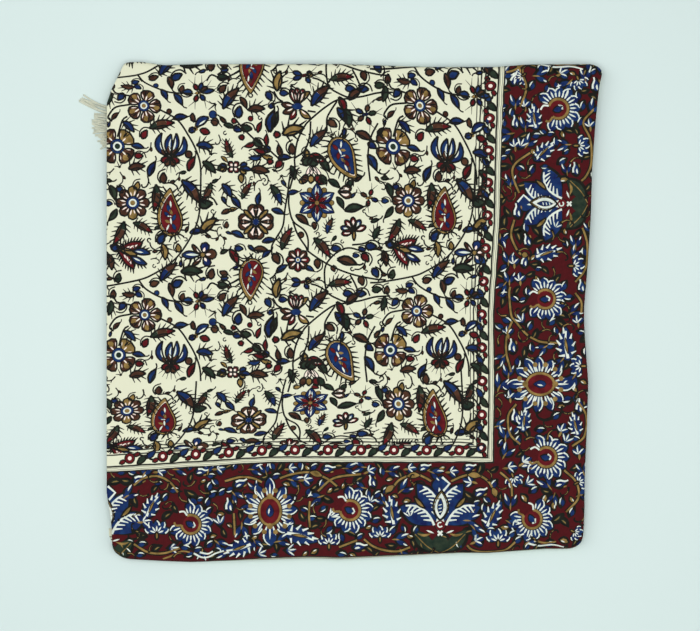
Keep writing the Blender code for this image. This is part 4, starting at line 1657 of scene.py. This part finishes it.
# %% The stamping tree
stamp_tree = new_tree("stamp_motifs")
motifs_id = named_input(stamp_tree, "Motifs", "Collection", None)
finish_id = named_input(stamp_tree, "Dye", "Material", None)
start = tree_node(stamp_tree, "NodeGroupInput")
pick = tree_node(stamp_tree, "GeometryNodeCollectionInfo", {},
                 {"Collection": start.outputs["Motifs"], "Separate Children": True, "Reset Children": True})
STAMP_ATTRIBUTES = (
    ("motif", "INT", "value"), ("turn", "FLOAT_VECTOR", "vector"), ("size", "FLOAT_VECTOR", "vector"),
)
which, turned, sized = (
    tree_node(stamp_tree, "GeometryNodeInputNamedAttribute", {"data_type": kind}, {"Name": name}).outputs[0]
    for name, kind, _ in STAMP_ATTRIBUTES)
stamps = tree_node(stamp_tree, "GeometryNodeInstanceOnPoints", {},
                   {"Points": start.outputs["Geometry"], "Instance": pick.outputs[0], "Pick Instance": True,
                    "Instance Index": which, "Rotation": turned, "Scale": sized})
end_tree(stamp_tree, stamps.outputs[0], start.outputs["Dye"])

# %% [markdown]
# A dye in plain cotton isn't even: it is mottled by how the block was inked, and the weave shows
# through it.

# %% Dyes
DYE_TONES = {
    "black": ((13, 14, 12), (30, 29, 23)), "brown": ((50, 23, 18), (86, 55, 37)),
    "red": ((76, 11, 17), (108, 22, 28)), "blue": ((13, 22, 72), (22, 56, 104)),
    "ochre": ((104, 84, 42), (160, 130, 74)), "green": ((18, 36, 29), (46, 58, 43)),
    "white": ((228, 232, 220), (200, 210, 200)), "pink": ((244, 220, 210), (234, 228, 210)),
}


def dyed(name):
    paint = Paint("dye_" + name, 0.86)
    uv, split = paint.flat_places()
    tone = ((paint.noise(uv, 130.0, 4.0) - 0.32) * 2.6).top(0.0).bottom(1.0)
    low, high = DYE_TONES[name]
    return woven(paint, paint.mix(tone, dye(*low), dye(*high)), uv, split)


# %% [markdown]
# A carver leaves no large gap on a block. After the listed motifs, small tufts, hooks
# and specks are dropped at random wherever there is still room, always with the same seed.

# %% Fill the gaps
FIELD_ROOM = {
    "star_flower": 20, "feathers": 20, "paisley_red": 19, "paisley_brown": 19, "paisley_blue": 19,
    "heart_flower": 18, "rosette_brown": 18, "rosette_five": 18, "rosette_four": 18, "tulip": 17,
    "half_flower": 17, "cross_flower": 16, "pomegranate": 15, "spidery_mixed": 15, "lotus": 14,
    "bent_cluster": 14, "spidery_red": 14, "spidery_blue": 14, "rosette_red": 12, "spray": 12,
    "quatrefoil": 11, "pair_blue_brown": 10, "pair_green_red": 10, "pair_green_blue": 10,
}
FIELD_FILL = ("tendril", "curled_hook", "hook", "tendril", "tuft", "speck blue", "speck brown", "speck green")
BORDER_ROOM = {"great_flower": 26, "ring_flower": 19, "palmette": 27, "jagged_leaf": 12, "fan": 11,
               "barbed_bud": 6, "split_bud": 6, "trefoil": 7, "claw": 6, "spark": 5}
BORDER_FILL = ("spark", "golden_speck", "dark_leaf", "dark_hook", "split_bud", "dark_hook", "spark",
               "dark_leaf")
# The border's front and right arms, each as its reach across and along.
BORDER_ARMS = (((-240, 143), (-243, -153)), ((149, 244), (-240, 246)))
TRIES = 4000
ROOM_SHARE = 0.8


def gaps_filled(placed, vines, range_x, range_y, room, fill, own_room, seed, wrap=True):
    """New stamps {kind: places} in the gaps between the given ones."""
    chance = np.random.default_rng(seed)
    taken = [(x, y, room.get(kind, 5.5) * size) for kind, spots in placed.items() for x, y, _, size in spots]
    taken += [(x, y, 1.0) for path in vines for x, y in smooth(path, 3.0)]
    taken = np.array(taken, float)
    if wrap:
        steps = [(i * (range_x[1] - range_x[0]), j * (range_y[1] - range_y[0]), 0) for i in (-1, 0, 1)
                 for j in (-1, 0, 1)]
        taken = np.concatenate([taken + step for step in steps])
    added = {}
    for _ in range(TRIES):
        x, y = chance.uniform(*range_x), chance.uniform(*range_y)
        size = chance.uniform(0.75, 1.15)
        if np.all(np.hypot(taken[:, 0] - x, taken[:, 1] - y) > taken[:, 2] + own_room * size * ROOM_SHARE):
            kind = fill[chance.integers(len(fill))]
            added.setdefault(kind, []).append((x, y, chance.uniform(0, 360), size))
            taken = np.vstack([taken, (x, y, own_room * size * ROOM_SHARE)])
    return added


# %% Carve a block: one flat mesh of each dye
# A strip wider than this gets a row of points along its middle too.
WIDE_STRIP = 4.2


def flat_mesh(name, strips):
    """A mesh of strips in millimetres. Z holds how proud of the sheet the dye lies."""
    points, faces = [], []
    for height, left, right in strips:
        wide = np.hypot(*(left - right).T).max() > WIDE_STRIP
        lanes = [left, (left + right) / 2, right] if wide else [left, right]
        first, count = len(points), len(left)
        for lane in lanes:
            points += [(x, y, height) for x, y in lane]
        for lane in range(len(lanes) - 1):
            for k in range(count - 1):
                a = first + lane * count + k
                faces.append((a, a + count, a + count + 1, a + 1))
    return mesh_from(name, points, faces)


def carve(name, stamped, vine_strips):
    """Returns {dye: (points, faces)} of a whole block."""
    listed = [(kind, *place) for kind, placed in stamped.items() for place in placed]
    kinds = sorted({entry[0] for entry in listed})
    carved = {}
    for colour in DYES:
        group = bpy.data.collections.new(f"{name}_{colour}")
        bpy.context.scene.collection.children.link(group)
        for index, kind in enumerate(kinds):
            strips = [s[1:] for s in KINDS[kind].strips if s[0] == colour]
            group.objects.link(bpy.data.objects.new(f"m{index:03d}_{name}_{colour}", flat_mesh(kind, strips)))
        spots = bpy.data.meshes.new(f"{name}_{colour}_spots")
        spots.from_pydata([(x, y, 0) for _, x, y, _, _ in listed], [], [])
        motifs = [kinds.index(entry[0]) for entry in listed]
        turns = [(0.0, 0.0, math.radians(entry[3])) for entry in listed]
        sizes = [(entry[4], entry[4], 1.0) for entry in listed]
        for (called, kind, field), values in zip(STAMP_ATTRIBUTES, (motifs, turns, sizes)):
            spots.attributes.new(called, kind, "POINT").data.foreach_set(field, np.ravel(values))
        block = run_tree(shown(f"{name}_{colour}_block", spots), stamp_tree,
                         {motifs_id: group, finish_id: inks_of[colour]})
        mesh = block.data
        points = np.zeros(len(mesh.vertices) * 3, dtype=np.float32)
        mesh.vertices.foreach_get("co", points)
        corners = np.zeros(len(mesh.loops), dtype=np.int32)
        mesh.loops.foreach_get("vertex_index", corners)
        quads = corners.reshape(-1, 4)
        points = points.reshape(-1, 3).astype(float)
        strips = [s[1:] for s in vine_strips if s[0] == colour]
        if strips:
            extra = flat_mesh("vines", strips)
            more = np.array([v.co[:] for v in extra.vertices])
            quads = np.vstack([quads, np.array([f.vertices[:] for f in extra.polygons]) + len(points)])
            points = np.vstack([points, more])
        carved[colour] = (points, quads)
        for made in list(group.objects):
            bpy.data.objects.remove(made)
        bpy.data.objects.remove(block)
        bpy.data.collections.remove(group)
    return carved


inks_of = {name: dyed(name) for name in DYES}
FIELD_MOTIFS.update(gaps_filled(FIELD_MOTIFS, FIELD_VINES, (0, BLOCK_WIDTH), (0, BLOCK_DEPTH),
                                FIELD_ROOM, FIELD_FILL, own_room=5.0, seed=3))
BORDER_ALL = dict(BORDER_MOTIFS)
for arm_x, arm_y in BORDER_ARMS:
    extra = gaps_filled(BORDER_ALL, BORDER_VINES + CALYX_PATHS, arm_x, arm_y, BORDER_ROOM, BORDER_FILL,
                        own_room=4.6, seed=5, wrap=False)
    for kind, placed in extra.items():
        BORDER_ALL[kind] = (*BORDER_ALL.get(kind, ()), *placed)
STEM_WIDTH = 1.8
CREEPER_WIDTH, CREEPER_CORE = 4.4, 1.9
KNOT_WIDTH, KNOT_REACH = 6.5, 3
stems = Motif()
for path in FIELD_VINES:
    stems.line(path, STEM_WIDTH)
field_block = carve("field", FIELD_MOTIFS, stems.strips)
creepers = Motif()
for path in BORDER_VINES:
    creepers.line(path, CREEPER_WIDTH, "black", FILL)
    creepers.line(path, CREEPER_CORE, "ochre", LIGHT)
    curve = smooth(path)
    for knot in VINE_KNOTS:
        nearest = int(np.argmin(np.hypot(*(curve - knot).T)))
        if math.dist(curve[nearest], knot) < KNOT_REACH:
            before, after = curve[max(nearest - 4, 0)], curve[min(nearest + 3, len(curve) - 1)]
            creepers.blade("ochre", before, after, KNOT_WIDTH, 0.1, edge=0.9, layer=LIGHT)
for colour, path in CREASE_STROKES:
    creepers.line(path, CREEPER_CORE, colour, LIGHT, taper=0.3)
border_block = carve("border", BORDER_ALL, creepers.strips)
guard_block = carve("guard", chain, [])
print("faces on the field block", {colour: len(faces) for colour, (_, faces) in field_block.items()})
print("faces on the border block", {colour: len(faces) for colour, (_, faces) in border_block.items()})

# %% [markdown]
# ## Printing
#
# Each dye's block is set down at its places. A hand-set block is never quite square to the last one, so
# each placing has its own small shift and shear. The package's edges wander, and the print wanders with
# them, so places seen from above are first led back to flat places on the straight cloth.

# %% Where the field block is set down
BLOCK_STEP = np.array([BLOCK_WIDTH, BLOCK_DEPTH], float)
BLOCK_CORNER = np.array([-243.0, -68.0])
# Where a few motifs lie in each placing, read off the enlarged photograph, in its pixels.
SEEN_AT = {
    (1, 0): (("rosette_brown", 408.1, 201.4), ("hollow_ring", 470.4, 206.1), ("cross_flower", 474.1, 254.3),
             ("rosette_five", 416.1, 310.5), ("rosette_four", 390.7, 350.0)),
    (0, 1): (("rosette_five", 143.6, 103.7), ("rosette_four", 117.7, 147.0), ("spidery_mixed", 199.0, 93.9),
             ("half_flower", 297.0, 107.3), ("spidery_blue", 365.8, 114.0)),
    (1, 1): (("rosette_five", 419.8, 105.9), ("rosette_four", 393.0, 147.0), ("spidery_mixed", 475.1, 96.8)),
    (0, -1): (("rosette_brown", 127.4, 410.7), ("hollow_ring", 190.8, 412.5), ("star_flower", 310.4, 402.7)),
    (1, -1): (("rosette_brown", 398.4, 403.8), ("hollow_ring", 459.7, 409.8)),
}
PACKAGE_LEFT_PX, PACKAGE_FRONT_PX = 350, 312
BLOCK_MIDDLE = np.array([138.0, 100.0])
# A placing's shear is given over this distance, in millimetres.
SHEAR_SPAN = 100


def from_middle(points):
    return (points - BLOCK_MIDDLE) / SHEAR_SPAN


def shifts():
    """For each placing, its shift at the block's middle, and the change to the right and upward."""
    found = {}
    for placing, seen in SEEN_AT.items():
        own = np.array([FIELD_MOTIFS[kind][0][:2] for kind, _, _ in seen], float)
        there = np.array([(x - PACKAGE_LEFT_PX, PACKAGE_FRONT_PX - y) for _, x, y in seen])
        off = there - BLOCK_CORNER - BLOCK_STEP * placing - own
        rows = np.column_stack([np.ones(len(own)), from_middle(own)])
        found[placing] = np.linalg.lstsq(rows, off, rcond=None)[0]
        print("placing", placing, "shifts by", found[placing].round(1).tolist())
    return found


SHIFTS = shifts()
# The far left corner is dragged forward a little where it rolls over.
SAG_PLACE, SAG_REACH, SAG = np.array([-215.0, 249.0]), np.array([60.0, 24.0]), 6.0
COPIES = [(i, j) for i in (-1, 0, 1) for j in range(-1, 7)]
FIELD_U_END, FIELD_V_END = BAND_U - 12.0, BAND_V + 17.0
UNFOLD_ROUNDS = 5


def set_down(points, i, j):
    moved = points[:, :2] + BLOCK_CORNER + BLOCK_STEP * (i, j)
    shift_at, right_by, up_by = SHIFTS.get((i, min(j, 1)), np.zeros((3, 2)))
    off = from_middle(points[:, :2])
    moved += shift_at + off[:, :1] * right_by + off[:, 1:] * up_by
    near_corner = np.exp(-(((moved - SAG_PLACE) / SAG_REACH) ** 2).sum(axis=1))
    moved[:, 1] -= SAG * near_corner
    return moved


def unfolded(spots):
    """Flat places of the printed top for places seen from above, in the package's frame."""
    flat = spots.copy()
    for _ in range(UNFOLD_ROUNDS):
        seen = np.stack(uneven_edges(flat[:, 0], flat[:, 1]), axis=1)
        flat += spots - seen
    return flat


# Flat places between which dye is laid: on the top, and on the sides of the folds.
TOP_U, TOP_V_HIGH = (-245.5, 242.5), 258.5
LEFT_SIDE_U, RIGHT_SIDE_U = (-247.5, -240.5), (234.0, 243.5)
FAR_HEM_CLEAR = 22


def shown_faces(flat):
    """True for faces (by their corners' flat places) on the top, round the folds or on the sides."""
    low, high = flat.min(axis=1), flat.max(axis=1)
    on_top = (high[:, 0] > TOP_U[0]) & (low[:, 0] < TOP_U[1]) & (low[:, 1] < TOP_V_HIGH)
    left_side = (high[:, 0] < LEFT_SIDE_U[1]) & (high[:, 0] > LEFT_SIDE_U[0])
    right_side = (low[:, 0] > RIGHT_SIDE_U[0]) & (high[:, 0] < RIGHT_SIDE_U[1])
    inside = (low[:, 1] > V_LOW) & (high[:, 1] < V_HIGH - FAR_HEM_CLEAR)
    inside &= (low[:, 0] > U_LOW) & (high[:, 0] < U_HIGH)
    return (on_top | left_side | right_side) & inside


# %% [markdown]
# The last step lays the dye on the folded sheet. A vertex takes its place and its facing from the
# sheet's own grid, so the dye follows the very facets of the sheet. Where the sheet bends, at folds and
# creases, faces are first cut along the grid's lines, or they would dive through it.

# %% Lay dye on the sheet
printed_normals = facing(grid_u, grid_v)
BEND_LIMIT = 0.035
LINE_MARGIN = 0.02


def bends(axis):
    """The angle between neighbouring facets across each grid line."""
    facet = printed_normals
    before = np.take(facet, range(0, facet.shape[axis] - 2), axis)
    after = np.take(facet, range(2, facet.shape[axis]), axis)
    angle = np.linalg.norm(after - before, axis=-1) / 2
    widths = [(0, 0), (0, 0)]
    widths[axis] = (1, 1)
    return np.pad(angle, widths)


bend_u, bend_v = bends(0), bends(1)


def cell_of(u, v):
    """The sheet's cell that holds a flat place, and how far into the cell it is."""
    row = np.clip(np.searchsorted(-across_u, -u) - 1, 0, len(across_u) - 2)
    column = np.clip(np.searchsorted(along_v, v) - 1, 0, len(along_v) - 2)
    s = (u - across_u[row]) / (across_u[row + 1] - across_u[row])
    t = (v - along_v[column]) / (along_v[column + 1] - along_v[column])
    return row, column, s[:, None], t[:, None]


def on_sheet(flat, proud):
    row, column, s, t = cell_of(flat[:, 0], flat[:, 1])

    def between(grid):
        low = grid[row, column] * (1 - s) + grid[row + 1, column] * s
        high = grid[row, column + 1] * (1 - s) + grid[row + 1, column + 1] * s
        return low * (1 - t) + high * t

    out = between(printed_normals)
    out /= np.linalg.norm(out, axis=1, keepdims=True)
    return between(places) + out * (SHEET / 2 + proud[:, None])


def split_at(tri, axis, at, chosen):
    """Cuts the chosen triangles in three along a grid line."""
    cut = tri[chosen]
    side = cut[:, :, axis] > at
    lone = np.where(side.sum(axis=1) == 1, side.argmax(axis=1), (~side).argmax(axis=1))
    number = np.arange(len(cut))
    a, b, c = (cut[number, (lone + k) % 3] for k in range(3))
    p = a + (b - a) * ((at - a[:, axis]) / (b[:, axis] - a[:, axis]))[:, None]
    q = a + (c - a) * ((at - a[:, axis]) / (c[:, axis] - a[:, axis]))[:, None]
    parts = [np.stack(corners, axis=1) for corners in ((a, p, q), (p, b, c), (p, c, q))]
    return np.concatenate([tri[~chosen], *parts])


def cut_at_bends(tri):
    for axis, lines_at, bend in ((0, across_u, bend_u), (1, along_v, bend_v)):
        for line in np.flatnonzero(bend.max(axis=1 - axis) > BEND_LIMIT):
            at = lines_at[line]
            low, high = tri[:, :, axis].min(axis=1), tri[:, :, axis].max(axis=1)
            hit = np.flatnonzero((low < at - LINE_MARGIN) & (high > at + LINE_MARGIN))
            row, column, _, _ = cell_of(*tri[hit].mean(axis=1)[:, :2].T)
            strong = bend[line, column] if axis == 0 else bend[row, line]
            chosen = np.zeros(len(tri), dtype=bool)
            chosen[hit[strong > BEND_LIMIT]] = True
            tri = split_at(tri, axis, at, chosen)
    return tri


# %% Print a dye with all its blocks
# Along the right edge the border goes on through the layers beneath.
BORDER_STEP = 486.0
RIGHT_STRIP_FROM = BAND_U + 4
BAND_MARGINS = (0.8, 0.6)
FIELD_OVERHANG = 8
LEAST_AREA = 0.004


def within_band(flat):
    """Draws the border's motifs back to between its cream stripes."""
    right, front = drift(flat[:, 0], flat[:, 1])
    across = (flat[:, 0] - right - BAND_U) * RIGHT_STRETCH
    down = (BAND_V + front - flat[:, 1]) * FRONT_STRETCH
    deep = np.maximum(across, down)
    moved = np.clip(deep, BAND_MARGINS[0], BAND_WIDTH - BAND_MARGINS[1]) - deep
    flat[:, 0] += np.where(across >= down, moved, 0) / RIGHT_STRETCH
    flat[:, 1] -= np.where(across < down, moved, 0) / FRONT_STRETCH
    return flat


def layings(colour):
    """Triangles of a dye at flat places, as (u, v, how proud)."""
    laid = []
    points, quads = field_block[colour]
    for i, j in COPIES:
        spots = set_down(points, i, j)
        inside = (spots[:, 0] < FIELD_U_END + FIELD_OVERHANG) & (spots[:, 1] > FIELD_V_END - FIELD_OVERHANG)
        flat = unfolded(spots)
        right, front = drift(flat[:, 0], flat[:, 1])
        flat[:, 0] = np.minimum(flat[:, 0], FIELD_U_END + right)
        flat[:, 1] = np.maximum(flat[:, 1], FIELD_V_END + front)
        faces = quads[inside[quads].any(axis=1)]
        laid.append(np.dstack([flat[faces], points[faces][:, :, 2:]]))
    points, quads = border_block[colour]
    on_right = quads[(points[quads][:, :, 0] > RIGHT_STRIP_FROM).all(axis=1)]
    for step, chosen in enumerate((quads, on_right, on_right)):
        flat = within_band(unfolded(points[:, :2].copy()) + (0, step * BORDER_STEP))
        laid.append(np.dstack([flat[chosen], points[chosen][:, :, 2:]]))
    points, quads = guard_block[colour]
    flat = points[:, :2] + np.stack(drift(points[:, 0], points[:, 1]), axis=1)
    laid.append(np.dstack([flat[quads], points[quads][:, :, 2:]]))
    faces = np.concatenate(laid)
    faces = faces[shown_faces(faces[:, :, :2])]
    tri = np.concatenate([faces[:, [0, 1, 2]], faces[:, [0, 2, 3]]])
    tri = cut_at_bends(tri)
    one, two = tri[:, 1, :2] - tri[:, 0, :2], tri[:, 2, :2] - tri[:, 0, :2]
    area = one[:, 0] * two[:, 1] - one[:, 1] * two[:, 0]
    tri[area < 0] = tri[area < 0][:, ::-1]
    return tri[np.abs(area) > LEAST_AREA]


def ink_mesh(name, tri, material):
    corners = tri.reshape(-1, 3)
    _, first, back = np.unique(corners.round(3), axis=0, return_index=True, return_inverse=True)
    kept = corners[first]
    mesh = bpy.data.meshes.new(name)
    mesh.vertices.add(len(kept))
    mesh.vertices.foreach_set("co", (on_sheet(kept[:, :2], kept[:, 2]) * MM).ravel().astype(np.float32))
    mesh.loops.add(len(corners))
    mesh.loops.foreach_set("vertex_index", back.ravel().astype(np.int32))
    mesh.polygons.add(len(tri))
    mesh.polygons.foreach_set("loop_start", np.arange(0, len(corners), 3, dtype=np.int32))
    mesh.polygons.foreach_set("loop_total", np.full(len(tri), 3, dtype=np.int32))
    mesh.update(calc_edges=True)
    mesh.uv_layers.new(name="print").data.foreach_set("uv", (corners[:, :2] * MM).ravel().astype(np.float32))
    mesh.materials.append(material)
    mesh.shade_smooth()
    return mesh


for colour in DYES:
    ink = shown("print_" + colour, ink_mesh("print_" + colour, layings(colour), inks_of[colour]))
    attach(ink, "root")
    print("dye", colour, "triangles", triangles(ink))

# %% [markdown]
# ## Floor, light and camera
#
# The package lies on a plain pale surface in soft, even light, and the camera looks straight down. The
# camera's place comes from the photograph: one pixel is one millimetre, and its middle is a little to
# the left of the solids' middle.

# %% The stage
def floor_finish():
    paint = Paint("pale_floor", 0.6)
    where = paint.node("TexCoord", output=3)
    return paint.finish(paint.mix(paint.noise(where, 1.5), dye(216, 229, 226), dye(208, 224, 221)))


FLOOR_HALF = 3.0
floor = shown("floor", mesh_from("floor", [(-FLOOR_HALF, -FLOOR_HALF, 0), (FLOOR_HALF, -FLOOR_HALF, 0),
                                           (FLOOR_HALF, FLOOR_HALF, 0), (-FLOOR_HALF, FLOOR_HALF, 0)],
                                 [(0, 1, 2, 3)], (floor_finish(),)))

# Lamps as (name, place, size, watts), each aimed at the package.
LAMPS = (
    ("window", (-1.4, 0.5, 1.8), 1.6, 13.6),
    ("reflector", (1.5, -0.3, 1.7), 1.6, 8.0),
    ("ceiling", (0.0, -0.1, 1.6), 1.1, 14.6),
)
for name, place, size, watts in LAMPS:
    light = bpy.data.lights.new(name, "AREA")
    light.size = size
    light.energy = watts
    lamp = bpy.data.objects.new(name, light)
    bpy.context.scene.collection.objects.link(lamp)
    lamp.location = place
    lamp.rotation_euler = (-Vector(place)).to_track_quat("-Z", "Y").to_euler()
world = bpy.data.worlds.new("soft_room")
world.use_nodes = True
world.node_tree.nodes["Background"].inputs["Color"].default_value = (0.93, 1.0, 1.0, 1.0)
world.node_tree.nodes["Background"].inputs["Strength"].default_value = 0.36
bpy.context.scene.world = world

PHOTO_WIDTH = 700.0
CAMERA_HEIGHT = 2.0
PHOTO_MIDDLE_X, PHOTO_MIDDLE_Y = 0.0, -3.5
TOP_HEIGHT = 0.013
eye = bpy.data.cameras.new("camera")
eye.sensor_width = 36.0
eye.lens = eye.sensor_width * (CAMERA_HEIGHT - TOP_HEIGHT) / (PHOTO_WIDTH * MM)
camera = bpy.data.objects.new("camera", eye)
camera.location = ((PHOTO_MIDDLE_X + shift[0]) * MM, (PHOTO_MIDDLE_Y + shift[1]) * MM, CAMERA_HEIGHT)
bpy.context.scene.collection.objects.link(camera)
bpy.context.scene.camera = camera
bpy.context.scene.view_settings.view_transform = "Standard"
print("lens", round(eye.lens, 1), "mm")
